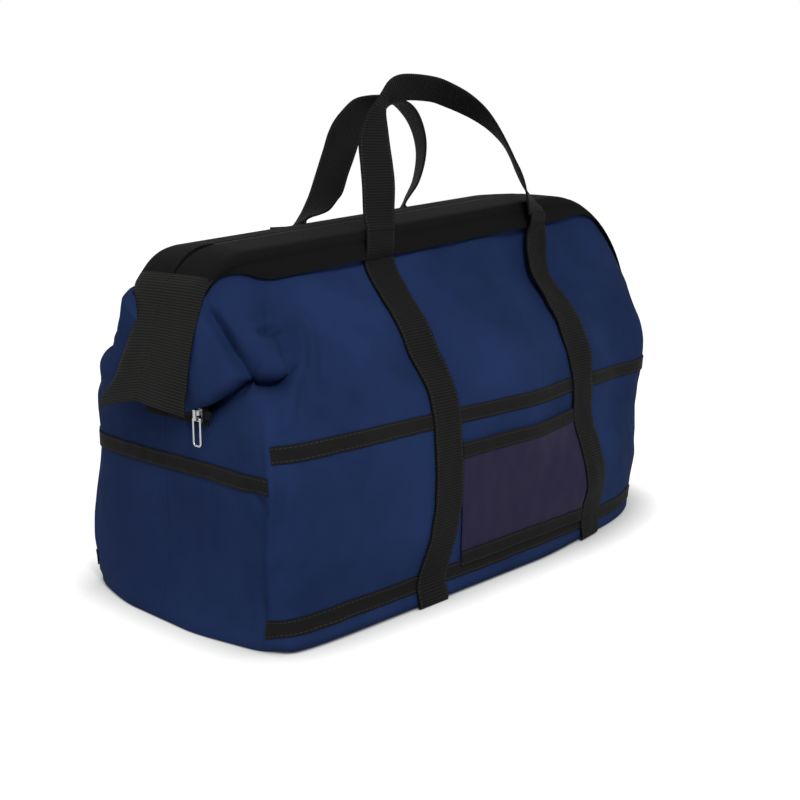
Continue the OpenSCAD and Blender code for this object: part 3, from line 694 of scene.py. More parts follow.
def settle(name: str, bm: bmesh.types.BMesh, smooth_faces: bool = True) -> bpy.types.Object:
    """Turns a bmesh into an object in the scene.

    Args:
        name: The piece's name.
        bm: The bmesh, which is freed.
        smooth_faces: Whether its faces are shaded smooth.

    Returns:
        The new object.
    """
    mesh = bpy.data.meshes.new(name)
    bm.to_mesh(mesh)
    bm.free()
    mesh.polygons.foreach_set("use_smooth", [smooth_faces] * len(mesh.polygons))
    piece = bpy.data.objects.new(name, mesh)
    bpy.context.scene.collection.objects.link(piece)
    return piece


def thicken(piece: bpy.types.Object, thickness: float, edge: float = 0.0) -> None:
    """Gives a sheet its thickness, inwards, and rounds its edges.

    Args:
        piece: The sheet.
        thickness: Its thickness.
        edge: Width of its edges' rounding, or 0 for none.
    """
    wall = piece.modifiers.new("thickness", "SOLIDIFY")
    wall.thickness = thickness
    wall.offset = -1.0
    if edge:
        bevel = piece.modifiers.new("edge", "BEVEL")
        bevel.width = edge
        bevel.segments = 2
        bevel.limit_method = "ANGLE"
        bevel.angle_limit = math.radians(50)


def dress(piece: bpy.types.Object, material: bpy.types.Material) -> bpy.types.Object:
    """Gives a piece its material and logs how many faces it has.

    Args:
        piece: The piece.
        material: Its material.

    Returns:
        The piece.
    """
    piece.data.materials.clear()
    piece.data.materials.append(material)
    LOG.info("%s: %d faces", piece.name, len(piece.data.polygons))
    return piece


def curve_through(points: Sequence[Sequence[float]], count: int) -> Array:
    """Returns points on a smooth curve, at about even steps.

    Args:
        points: Points that the curve passes: x, y and z, and any values that go with them.
        count: How many points to return.

    Returns:
        Points and their values, one a row.
    """
    pts = np.array(points, float)
    pts = np.vstack([2 * pts[0] - pts[1], pts, 2 * pts[-1] - pts[-2]])
    fine = []
    for i in range(1, len(pts) - 2):
        for t in np.linspace(0, 1, 24, endpoint=False):
            a, b, c, d = pts[i - 1], pts[i], pts[i + 1], pts[i + 2]
            fine.append(0.5 * (2 * b + (c - a) * t + (2 * a - 5 * b + 4 * c - d) * t ** 2
                               + (3 * b - a - 3 * c + d) * t ** 3))
    fine.append(pts[-2])
    line = np.array(fine)
    run = np.concatenate([[0], np.cumsum(np.linalg.norm(np.diff(line[:, :3], axis=0), axis=1))])
    even = np.linspace(0, run[-1], count)
    return np.stack([np.interp(even, run, line[:, k]) for k in range(line.shape[1])], axis=-1)


# ---- Finishes ----


class Nodes:
    """Adds and joins the nodes of one tree."""

    def __init__(self, tree: bpy.types.NodeTree) -> None:
        """Keeps the tree."""
        self.tree = tree

    def node(self, kind: str, **values: object) -> bpy.types.Node:
        """Adds a node.

        Args:
            kind: The node's type.
            **values: Its inputs and properties by name.

        Returns:
            The node.
        """
        made = self.tree.nodes.new(kind)
        for key, value in values.items():
            if key in made.inputs:
                made.inputs[key].default_value = value
            else:
                setattr(made, key, value)
        return made

    def link(self, source: bpy.types.NodeSocket, target: bpy.types.NodeSocket) -> None:
        """Joins two sockets."""
        self.tree.links.new(source, target)

    def joined(self, kind: str, *sources: bpy.types.NodeSocket) -> bpy.types.NodeSocket:
        """Adds a node and feeds its inputs in order.

        Args:
            kind: The node's type.
            *sources: The sockets that feed it.

        Returns:
            Its result.
        """
        made = self.node(kind)
        for source, socket in zip(sources, made.inputs):
            self.link(source, socket)
        return made.outputs[0]

    def math(self, operation: str, first: object, second: object = 0.0) -> bpy.types.NodeSocket:
        """Adds a math node.

        Args:
            operation: What it works out.
            first: Its first value, a socket or a number.
            second: Its second value, likewise.

        Returns:
            Its result.
        """
        made = self.node("ShaderNodeMath", operation=operation)
        for socket, value in zip(made.inputs, (first, second)):
            if isinstance(value, bpy.types.NodeSocket):
                self.link(value, socket)
            else:
                socket.default_value = value
        return made.outputs[0]

    def looking(self) -> bpy.types.NodeSocket:
        """Tells the rays that look at a thing from those that only light it."""
        rays = self.node("ShaderNodeLightPath")
        total = rays.outputs["Is Camera Ray"]
        for kind in ("Is Glossy Ray", "Is Transmission Ray"):
            total = self.math("MAXIMUM", total, rays.outputs[kind])
        return total


class Shader(Nodes):
    """Builds one node material, with short names for the nodes that fabrics need."""

    def __init__(self, name: str) -> None:
        """Starts a material with its principled shader.

        Args:
            name: The material's name.
        """
        self.material = bpy.data.materials.new(name)
        self.material.use_nodes = True
        super().__init__(self.material.node_tree)
        self.surface = self.tree.nodes["Principled BSDF"]

    def ramp(self, factor: bpy.types.NodeSocket, low: Triple, high: Triple, start: float,
             end: float) -> bpy.types.NodeSocket:
        """Maps a factor to a colour.

        Args:
            factor: The factor.
            low: Colour up to start.
            high: Colour from end on.
            start: Factor where the colour starts to change.
            end: Factor where it has changed.

        Returns:
            The colour.
        """
        made = self.node("ShaderNodeValToRGB")
        for element, place, colour in zip(made.color_ramp.elements, (start, end), (low, high)):
            element.position = place
            element.color = (*colour, 1)
        self.link(factor, made.inputs[0])
        return made.outputs[0]

    def noise(self, scale: float, detail: float) -> bpy.types.NodeSocket:
        """Adds noise on the object's own coordinates.

        Args:
            scale: Waves a metre, about.
            detail: How many finer layers it has.

        Returns:
            Its value.
        """
        made = self.node("ShaderNodeTexNoise", Scale=scale, Detail=detail)
        self.link(self.node("ShaderNodeTexCoord").outputs["Object"], made.inputs["Vector"])
        return made.outputs[0]

    def cloth_map(self, swapped: bool) -> tuple[bpy.types.NodeSocket, bpy.types.NodeSocket]:
        """Reads the cloth's own map.

        Args:
            swapped: Whether its second axis comes first.

        Returns:
            Its two axes, in metres.
        """
        split = self.node("ShaderNodeSeparateXYZ")
        self.link(self.node("ShaderNodeUVMap", uv_map="cloth").outputs[0], split.inputs[0])
        first, second = split.outputs[0], split.outputs[1]
        return (second, first) if swapped else (first, second)

    def wave(self, along: bpy.types.NodeSocket, pitch: float) -> bpy.types.NodeSocket:
        """Adds ribs of the given pitch along an axis and returns their height."""
        return self.math("SINE", self.math("MULTIPLY", along, 2 * math.pi / pitch))

    def stitches(self, width: float, swapped: bool, inset: float = 0.0022, pitch: float = 0.0042,
                 half_thread: float = 0.0005) -> bpy.types.NodeSocket:
        """Draws a row of stitches beside both edges of a cloth.

        Args:
            width: Width of the cloth.
            swapped: Whether the width runs along the map's second axis.
            inset: How far the stitches lie inside the edges.
            pitch: Length of a stitch with its gap.
            half_thread: Half width of the thread.

        Returns:
            1 on a stitch and 0 beside it.
        """
        side, run = self.cloth_map(swapped)
        middle = self.math("ABSOLUTE", self.math("SUBTRACT", side, width / 2))
        away = self.math("ABSOLUTE", self.math("SUBTRACT", middle, width / 2 - inset))
        dash = self.math("GREATER_THAN", self.wave(run, pitch), -0.4)
        return self.math("MULTIPLY", self.math("LESS_THAN", away, half_thread), dash)

    def bump(self, height: bpy.types.NodeSocket, distance: float, strength: float,
             below: bpy.types.NodeSocket | None = None) -> bpy.types.NodeSocket:
        """Adds a bump.

        Args:
            height: Its relief.
            distance: Its depth.
            strength: Its strength.
            below: Normal of the bump under it, if there is one.

        Returns:
            The normal.
        """
        made = self.node("ShaderNodeBump", Strength=strength, Distance=distance)
        self.link(height, made.inputs["Height"])
        if below is not None:
            self.link(below, made.inputs["Normal"])
        return made.outputs[0]

    def feed(self, **values: object) -> None:
        """Sets or links inputs of the principled shader.

        Args:
            **values: Values or sockets by the input's name, with _ for spaces.
        """
        for key, value in values.items():
            socket = self.surface.inputs[key.replace("_", " ")]
            if isinstance(value, bpy.types.NodeSocket):
                self.link(value, socket)
            else:
                socket.default_value = value


@dataclass(frozen=True)
class Cloth:
    """A woven finish, with painted shade in the weave's hollows.

    Attributes:
        name: The material's name.
        dark: Colour in the weave's hollows, a painted shade there.
        light: Colour on its threads' tops, which the painted shade leaves lighter.
        rib: Pitch of the ribs that run across the cloth.
        warp: Pitch of the threads along the cloth, or 0 for none.
        depth: Depth of the ribs.
        roughness: How matt the thread is.
        sheen: Strength of the soft sheen.
        gloss: Strength of the plain reflection.
        sewn_width: Width of the cloth between its edges where stitches run beside them, or 0 for none.
        sewn_across: Whether the width runs along the map's second axis.
        thread: Colour of the stitches.
        mottle: Strength of the cloudy shades.
    """

    name: str
    dark: Triple
    light: Triple
    rib: float
    warp: float
    depth: float
    roughness: float = 0.8
    sheen: float = 0.0
    gloss: float = 0.1
    sewn_width: float = 0.0
    sewn_across: bool = False
    thread: Triple = (0.022, 0.022, 0.021)
    mottle: float = 0.45

    def build(self) -> bpy.types.Material:
        """Builds the finish and returns its material."""
        shader = Shader(self.name)
        along, across = shader.cloth_map(False)
        height = shader.wave(across, self.rib)
        if self.warp:
            height = shader.math("MULTIPLY", height, shader.wave(along, self.warp))
        level = shader.math("ADD", shader.math("MULTIPLY", height, 0.5), 0.5)
        clouds = shader.math("MULTIPLY", shader.math("SUBTRACT", shader.noise(9.0, 4.0), 0.5), self.mottle)
        # The colour follows the ribs' height, a painted shade in the weave's hollows, plus random cloudy
        # tone.
        rib_shade_and_clouds = shader.math("ADD", shader.math("MULTIPLY", level, 0.55), shader.math("ADD", clouds, 0.225))
        colour = shader.ramp(rib_shade_and_clouds, self.dark, self.light, 0.15, 0.85)
        if self.sewn_width:
            sewn = shader.stitches(self.sewn_width, self.sewn_across)
            mix = shader.node("ShaderNodeMixRGB", Color2=(*self.thread, 1))
            shader.link(sewn, mix.inputs[0])
            shader.link(colour, mix.inputs[1])
            colour = mix.outputs[0]
            level = shader.math("ADD", level, sewn)
        lint = shader.bump(shader.noise(420.0, 2.0), 0.0003, 0.35)
        shader.feed(Base_Color=colour, Normal=shader.bump(level, self.depth, 0.8, lint),
                    Roughness=self.roughness, Sheen_Weight=self.sheen, Sheen_Roughness=0.5,
                    Specular_IOR_Level=self.gloss)
        return shader.material


@dataclass(frozen=True)
class Solid:
    """A plastic or metal finish with a fine grain and a little wear.

    Attributes:
        name: The material's name.
        colour: Its colour where it isn't worn.
        roughness: How matt it is.
        metallic: Whether it is a metal, as 0 or 1.
        grain: Grains a metre, about.
        depth: Depth of the grain.
        gloss: Strength of the plain reflection.
    """

    name: str
    colour: Triple
    roughness: float
    metallic: float = 0.0
    grain: float = 260.0
    depth: float = 0.0001
    gloss: float = 0.5

    def build(self) -> bpy.types.Material:
        """Builds the finish and returns its material."""
        shader = Shader(self.name)
        worn = shader.noise(38.0, 5.0)
        dark = tuple(0.82 * c for c in self.colour)
        rough = shader.math("ADD", shader.math("MULTIPLY", worn, 0.12), self.roughness - 0.06)
        shader.feed(Base_Color=shader.ramp(worn, dark, self.colour, 0.3, 0.7), Roughness=rough,
                    Normal=shader.bump(shader.noise(self.grain, 2.0), self.depth, 0.5),
                    Metallic=self.metallic, Specular_IOR_Level=self.gloss)
        return shader.material


# Each cloth's first colour is its painted shade in the weave's hollows, the second its threads' tops.
CANVAS = Cloth("navy_canvas", (0.0066, 0.0148, 0.049), (0.0145, 0.0306, 0.096), rib=0.0011, warp=0.0011,
               depth=0.00018, roughness=0.9, gloss=0.05, mottle=1.2)
PATCH = Cloth("dark_patch_nylon", (0.007, 0.005, 0.022), (0.013, 0.009, 0.036), rib=0.0009, warp=0.0009,
              depth=0.0001, roughness=0.7, sheen=0.02, gloss=0.12)
BAND = Cloth("black_band_cloth", (0.003, 0.003, 0.003), (0.007, 0.007, 0.007), rib=0.0016, warp=0.0016,
             depth=0.0002, roughness=0.9, gloss=0.06)
WEBBING = Cloth("black_webbing", (0.002, 0.002, 0.002), (0.0085, 0.0085, 0.0081), rib=0.0028, warp=0.0,
                depth=0.0006, sewn_width=0.040)
TAB = Cloth("black_tab_webbing", (0.002, 0.002, 0.002), (0.015, 0.015, 0.014), rib=0.0027, warp=0.0,
            depth=0.0006)
TRIM = Cloth("black_trim_tape", (0.002, 0.002, 0.002), (0.013, 0.012, 0.012), rib=0.0024, warp=0.0016,
             depth=0.0005, gloss=0.08, sewn_width=0.016, sewn_across=True)
ZIP_CLOTH = Cloth("black_zip_cloth", (0.003, 0.003, 0.003), (0.008, 0.008, 0.008), rib=0.0010, warp=0.0010,
                  depth=0.0001, roughness=0.85, gloss=0.06)
TEETH = Solid("black_zip_plastic", (0.006, 0.006, 0.006), 0.75, gloss=0.08)
STEEL = Solid("plated_steel", (0.45, 0.45, 0.47), 0.32, metallic=1.0)
CHROME = Solid("polished_nickel", (0.46, 0.46, 0.48), 0.2, metallic=1.0, grain=120.0, depth=0.00004)
BOARD = Solid("grey_fibreboard", (0.06, 0.06, 0.065), 0.8, grain=400.0, depth=0.0003)
FINISHES = {"body_fabric": CANVAS, "patch_fabric": PATCH, "black_fabric": BAND, "black_webbing": WEBBING,
            "trim_tape": TRIM, "zip_tape": ZIP_CLOTH, "zip_teeth": TEETH, "frame_steel": STEEL,
            "bright_metal": CHROME, "board_plastic": BOARD}


class Finishes:
    """Holds the built materials and gives the one for each of the record's slots."""

    def __init__(self) -> None:
        """Builds every finish."""
        self.by_slot = {slot: finish.build() for slot, finish in FINISHES.items()}
        self.tab = TAB.build()

    def apply(self, piece: bpy.types.Object, slot: str) -> bpy.types.Object:
        """Dresses a piece in a slot's finish and returns it."""
        return dress(piece, self.by_slot[slot])


# ---- Soft parts ----


@dataclass
class SoftParts:
    """Base of the sub-assemblies: the bag's form and its finishes.

    Attributes:
        forms: The form of each half of the bag.
        finishes: The built materials.
        bend_from: Height where the fabric would start to follow the mouth; not used.
        bend_to: Height from which it would go with the mouth; not used.
    """

    forms: dict[Half, BagForm]
    finishes: Finishes
    bend_from: float = 0.222
    bend_to: float = 0.335

    @property
    def form(self) -> BagForm:
        """Returns the front half's form, for what both halves share."""
        return self.forms[Half.FRONT]

    def follow(self, piece: bpy.types.Object, half: Half) -> None:
        """Bakes the piece's placing into its mesh."""
        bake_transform(piece)

    def fit(self, piece: bpy.types.Object, slot: str, *nodes: str, wall: float, edge: float = 0.0) -> None:
        """Gives a sheet its wall, rounded edge and finish, and hides the nodes it stands for.

        Args:
            piece: The sheet.
            slot: The record's slot of its finish.
            *nodes: The nodes it stands for.
            wall: Its thickness.
            edge: Width of its edges' rounding, or 0 for none.
        """
        thicken(piece, wall, edge)
        self.finishes.apply(piece, slot)
        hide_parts(*nodes)

    def on_shell(self, half: Half, angles: tuple[float, float], heights: tuple[float, float], off: float,
                 detail: float = 1.0) -> Place:
        """Returns the placing of a sheet on the shell.

        Args:
            half: The half of the bag.
            angles: Directions of its two sides.
            heights: Its lower and upper height, as BagForm.fabric takes them.
            off: Distance off the fabric.
            detail: Share of the folds and wrinkles that it follows.

        Returns:
            The placing, for u and v from 0 to 1.
        """
        (a0, a1), (t0, t1) = angles, heights

        def place(u: Array, v: Array) -> Array:
            """Places the sheet's points."""
            return self.forms[half].surface(a0 + (a1 - a0) * u, t0 + (t1 - t0) * v, half, off, detail)

        return place


@dataclass
class Body(SoftParts):
    """The navy shells, the floor and the trim tapes.

    Attributes:
        fabric_t: Thickness of the fabric.
        cols: Faces round each shell.
        rows: Faces up each shell.
        tape_w: Width of the trim tapes.
        tape_off: How far they lie off the fabric.
        side_z: Height of the tapes on the sides and the rounded end.
        end_z: Height of the tape on the flat end.
        foot_z: Height of the lower tapes.
        side_from: Direction where the side tapes start.
        side_to: Direction where they end.
    """

    fabric_t: float = 0.0016
    cols: int = 330
    rows: int = 140
    tape_w: float = 0.016
    tape_off: float = 0.0016
    side_z: float = 0.186
    end_z: float = 0.158
    foot_z: float = 0.024
    side_from: float = 223.8
    side_to: float = 314.0

    def build(self) -> None:
        """Builds the shells of both halves, the floor and the tapes."""
        for half in Half:
            self.shell(half)
            self.tapes(half)
        self.floor()

    @staticmethod
    def angles(u: Array) -> Array:
        """Returns the shell's directions, closer together where the fabric creases."""
        return np.interp(u, (0, 0.05, 0.5, 0.78, 1), (180, 190, 236, 312, 360))

    @staticmethod
    def heights(v: Array) -> Array:
        """Returns the shell's heights, closer together at the floor and above the shoulder."""
        return np.interp(v, (0, 0.02, 0.2, 0.3, 0.86, 1), (0, 0.012, 0.88, 1.08, 1.75, 2))

    def spread(self, u: Array, v: Array) -> Array:
        """Returns the shell's own map.

        Args:
            u: Shares of the way round the shell.
            v: Shares of the way up it.

        Returns:
            Distance round the body and distance up it, one pair a row.
        """
        steps = np.linspace(180, 360, 721)
        rim = self.form.outline(steps, np.full_like(steps, 0.15))
        run = np.concatenate([[0], np.cumsum(np.linalg.norm(np.diff(rim, axis=0), axis=1))])
        t = self.heights(v)
        up = np.where(t < 1, t * 0.2, 0.2 + (t - 1) * 0.19)
        return np.stack([np.interp(self.angles(u), steps, run), up], axis=-1)

    def shell(self, half: Half) -> None:
        """Builds one half of the navy shell, from the floor to the mouth's band.

        Args:
            half: The half of the bag.
        """

        def place(u: Array, v: Array) -> Array:
            """Places the shell's points."""
            return self.forms[half].surface(self.angles(u), self.heights(v), half)

        piece = sheet(f"{half.word}_shell", self.cols, self.rows, place, (1, 1), half is Half.REAR,
                      self.spread)
        self.fit(piece, "body_fabric", f"{half.word}_lower_panel", f"{half.word}_upper_panel",
                 f"flat_end_{half.word}_gusset", f"round_end_{half.word}_gusset", "flat_end_panel",
                 "round_end_panel", wall=self.fabric_t)
        self.follow(piece, half)

    def tapes(self, half: Half) -> None:
        """Builds the trim tapes of one half, each with its name, ends, height, length and node.

        Args:
            half: The half of the bag.
        """
        word = half.word
        for name, a0, a1, z, length, node in (
                (f"{word}_side_trim", self.side_from, self.side_to, self.side_z, 0.64, f"{word}_side_tape"),
                (f"{word}_foot_trim", 222.0, self.side_to, self.foot_z, 0.64, f"{word}_foot_tape"),
                (f"flat_end_{word}_trim", 180, 222.9, self.end_z, 0.15, "flat_end_tape"),
                (f"round_end_{word}_trim", self.side_to, 360, self.side_z, 0.17, "round_end_tape")):
            heights = tuple((z + k * self.tape_w / 2) / self.form.join_z for k in (-1, 1))
            place = self.on_shell(half, (a0, a1), heights, self.tape_off)
            piece = sheet(name, max(24, int(length / 0.004)), 4, place, (length, self.tape_w),
                          half is Half.REAR)
            self.fit(piece, "trim_tape", node, wall=0.0012, edge=0.0003)
            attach(piece, "root")

    def floor(self) -> None:
        """Builds the floor's fabric, drawn in from the shells' rounded lower edge."""

        def place(u: Array, v: Array) -> Array:
            """Places the floor's points.

            Args:
                u: Shares of the way round it.
                v: Shares of the way in.

            Returns:
                Points, one a row.
            """
            turn = 360 * u
            rim = np.zeros((len(u), 3))
            for half, a in ((Half.FRONT, turn), (Half.REAR, 360 - turn)):
                mask = (turn >= 180) == (half is Half.FRONT)
                rim[mask] = self.forms[half].surface(a[mask], 0 * a[mask], half)
            flat = rim * (1 - v)[:, None]
            flat[:, 2] = 0.0006
            return flat

        piece = sheet("floor_fabric", 240, 12, place, (0.75, 0.32), True)
        self.fit(piece, "body_fabric", "base_panel", wall=0.0014)
        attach(piece, "root")


@dataclass
class Mouth(SoftParts):
    """The black band round the mouth with its end tabs, and the zip in its middle.

    Attributes:
        band_t: Thickness of the band and the tabs.
        gap: Half the gap between the zip's two sides on the straight tail.
        zip_side: Half the gap between the band's edges over the zip.
        crown: How far those edges stand up.
        cols: Faces along the band.
        overlap: How far the band reaches under the tabs.
        tab_rise: How far a tab reaches onto the ridge.
        tab_lift: How far a tab stands off the band.
        seam_gap: Half the gap between the two halves of a tab.
        tab_longer: How much further the rear tab at the flat end hangs at its outer edge.
        tab_draw: How much that tab is drawn in above its foot.
        tab_curl: How far a tab's outer edge curls in.
        wave: Height of the soft waves of the band and the tabs.
        tail_x: Place of the zip's tail on the flat end.
        tail_from: Where it starts, at the back.
        tail_run: Its length.
        tail_z: Height of its lower edge.
        tail_h: Its width.
        slider_y: Where the slider holds it flat.
        anchor_x: Places of the anchors' outer faces.
        anchor_half: Half the width and half the height of an anchor.
        anchor_t: Its thickness.
        anchor_z: Height of its middle.
        hole_r: Radius of the hole for the rivet.
        hole_up: How far that hole lies above the middle.
    """

    band_t: float = 0.002
    gap: float = 0.0003
    zip_side: float = 0.0063
    crown: float = 0.003
    cols: int = 260
    overlap: float = 0.004
    tab_rise: float = 0.022
    tab_lift: float = 0.0016
    seam_gap: float = 0.0001
    tab_longer: float = 0.014
    tab_draw: float = 0.016
    tab_curl: float = 0.004
    wave: float = 0.0022
    tail_x: float = -0.3593
    tail_from: float = 0.029
    tail_run: float = 0.1
    tail_z: float = 0.2015
    tail_h: float = 0.0215
    slider_y: float = -0.062
    anchor_x: tuple[float, float] = (-0.3555, 0.3455)
    anchor_half: tuple[float, float] = (0.0215, 0.0175)
    anchor_t: float = 0.0018
    anchor_z: float = 0.2022
    hole_r: float = 0.0036
    hole_up: float = 0.0098

    def build(self) -> None:
        """Builds the band, the zip tape and the tabs of both halves."""
        for half in Half:
            self.band(half)
            self.zip_tape(half)
            for word in ("flat", "round"):
                self.tab(half, word)
        self.tail()
        self.anchors()

    def zip_tape(self, half: Half) -> None:
        """Builds one half's zip tape, under the band's inner edge.

        Args:
            half: The half of the bag.
        """
        m = self.form.mouth
        start, _, _, end, _ = m.marks

        def place(u: Array, v: Array) -> Array:
            """Places the tape's points.

            Args:
                u: Shares of the way along it.
                v: Shares of the way across it.

            Returns:
                Points, one a row.
            """
            s = start + u * (end - start)
            k = m.band_part(s)
            side = self.gap + 0.002 * k
            p = m.beside(s, side + 0.014 * (1 - v), 0.0024 * (1 - k) - 0.0003 * k)
            return p * np.array([1, -half.value, 1])

        piece = sheet(f"{half.word}_zip_cloth", 120, 3, place, (end - start, 0.014), half is Half.REAR)
        self.fit(piece, "zip_tape", f"{half.word}_zip_tape", wall=0.001)
        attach(piece, half.mouth)

    def tail(self) -> None:
        """Builds the zip tape that hangs down the flat end, under the tab."""

        def place(u: Array, v: Array) -> Array:
            """Places the tape's points.

            Args:
                u: Shares of the way along it.
                v: Shares of the way up it.

            Returns:
                Points, one a row.
            """
            y = self.tail_from - self.tail_run * u
            wave = 0.0006 * np.sin(y * 130) * eased(np.abs(y - self.slider_y), 0.03, 0.04)
            return np.stack([self.tail_x - wave, y, self.tail_z + self.tail_h * v], axis=-1)

        piece = sheet("zip_tail_cloth", 60, 6, place, (self.tail_run, self.tail_h))
        self.fit(piece, "zip_tape", "zip_tail_tape", wall=0.0009, edge=0.0002)
        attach(piece, "root")

    def anchors(self) -> None:
        """Builds the webbing patches inside the end walls that hold the frame's rivets."""
        for word, x, side in zip(("flat", "round"), self.anchor_x, (1, -1)):

            def place(u: Array, v: Array) -> Array:
                """Places the patch's points.

                Args:
                    u: Shares of the way round the rivet's hole.
                    v: Shares of the way out from it.

                Returns:
                    Points, one a row.
                """
                c, s = np.cos(2 * math.pi * u), np.sin(2 * math.pi * u)
                half_w, half_h = self.anchor_half
                edge = (np.abs(c / half_w) ** 10 + np.abs(s / half_h) ** 10) ** -0.1
                r = self.hole_r + (edge - self.hole_r) * v
                z = self.anchor_z + r * s + self.hole_up * (1 - v)
                return np.stack([x + side * self.anchor_t + 0 * u, r * c, z], axis=-1)

            piece = sheet(f"{word}_anchor_patch", 64, 8, place, (0.044, 0.036), side < 0)
            self.fit(piece, "black_webbing", "hinge_anchors", wall=self.anchor_t, edge=0.0003)
            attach(piece, "root")

    def across(self, s: Array, v: Array) -> tuple[Array, Array]:
        """Returns the band's section.

        Args:
            s: Distances along the mouth.
            v: From the zip, 0, to the band's lower edge, 1.

        Returns:
            Distance from the bag's middle, and distance inwards from the mouth's line.
        """
        m = self.form.mouth
        w, d, k = m.skin_half(s), m.skin_drop(s), m.band_part(s)
        rows = ((0.0, self.gap + (self.zip_side - self.gap) * k, -self.crown * k), (0.25, w / 2, -0.002 * k),
                (0.42, w - 0.008, -0.0006 * k), (0.5, w - 0.0022, 0.0008 + 0 * k),
                (0.56, w, 0.0012 + 0.003 * k), (0.62, w + 0.0008 * k, 0.0013 + 0.007 * k),
                (0.68, w - 0.0004 * k, 0.0014 + 0.011 * k),
                (0.8, w + 0.0012 * k, 0.0014 + (d - 0.0014) * 0.55), (1.0, w + 0.003 * k, d))
        knots, side, drop = (np.array(column) for column in zip(*rows))
        i = np.clip(np.searchsorted(knots, v, side="right") - 1, 0, len(knots) - 2)
        share = (v - knots[i]) / (knots[i + 1] - knots[i])
        low, high = eased(np.array((0.0, 1.0)), -0.5, 1.5)
        f = (eased(share, -0.5, 1.5) - low) / (high - low)
        n = np.arange(len(v))
        return side[i, n] * (1 - f) + side[i + 1, n] * f, drop[i, n] * (1 - f) + drop[i + 1, n] * f

    def band(self, half: Half) -> None:
        """Builds one half of the band, from tab to tab.

        Args:
            half: The half of the bag.
        """
        m = self.form.mouth
        one, _, _, four, _ = m.marks
        start, end = one - self.overlap, four + self.overlap

        def place(u: Array, v: Array) -> Array:
            """Places the band's points.

            Args:
                u: Shares of the way along it.
                v: Shares of the way from its lower edge to the zip.

            Returns:
                Points, one a row.
            """
            s = start + u * (end - start)
            side, drop = self.across(s, 1 - v)
            p = m.beside(s, side, drop)
            p[:, 1] -= self.wave * ripple(p, 11) * eased(v, 0.4, 0) * m.band_part(s)
            return p * np.array([1, -half.value, 1])

        piece = sheet(f"{half.word}_band", self.cols, 40, place, (end - start, 0.11), half is Half.REAR)
        self.fit(piece, "black_fabric", f"{half.word}_mouth_band", wall=self.band_t, edge=0.0004)
        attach(piece, half.mouth)

    def tab_width(self, s: Array, half: Half, word: str) -> Array:
        """Returns a tab's half width, which is drawn in above the rear tab's foot at the flat end.

        Args:
            s: Distances along the mouth's line.
            half: The half of the bag.
            word: The end that has the tab, flat or round.

        Returns:
            Half widths.
        """
        wide = self.form.mouth.skin_half(s)
        if half is Half.REAR and word == "flat":
            up = s / self.form.mouth.marks[0]
            wide = wide - self.tab_draw * eased(up, 0, 0.3) * eased(up, 1.12, 0.72)
        return wide

    def tab(self, half: Half, word: str) -> None:
        """Builds half of the ribbed tab at one end, which hangs outside the fabric.

        Args:
            half: The half of the bag.
            word: The end that has the tab, flat or round.
        """
        m = self.form.mouth
        one, _, _, four, five = m.marks
        foot, head = (0.0, one + self.tab_rise) if word == "flat" else (five, four - self.tab_rise)

        def place(u: Array, v: Array) -> Array:
            """Places the tab's points.

            Args:
                u: Shares of the way out from the seam.
                v: Shares of the way from its foot to its head.

            Returns:
                Points, one a row.
            """
            s = foot + (head - foot) * v
            side = self.seam_gap + (self.tab_width(s, half, word) - self.seam_gap) * u
            longer = self.tab_longer if half is Half.REAR and word == "flat" else self.tab_longer / 3
            s = s - np.sign(head - foot) * longer * (1 - v) ** 2 * u
            curl = self.tab_curl * (u ** 6) + 0.0035 * bell(v, 0.05) * (u - 0.4)
            lift = self.tab_lift * eased(v, 1, 0.88)
            wave = self.wave * np.sin(7 * v + 2.5 * u * u + (1 if half is Half.FRONT else 3.1)) * u * (1 - v)
            p = m.beside(s, side, curl - lift - wave)
            return p * np.array([1, -half.value, 1])

        turned = (half is Half.REAR) != (word == "round")
        piece = sheet(f"{word}_end_{half.word}_tab", 26, 60, place, (0.06, abs(head - foot)), not turned)
        thicken(piece, self.band_t)
        dress(piece, self.finishes.tab)
        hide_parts(f"{half.word}_end_tabs")
        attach(piece, half.mouth)


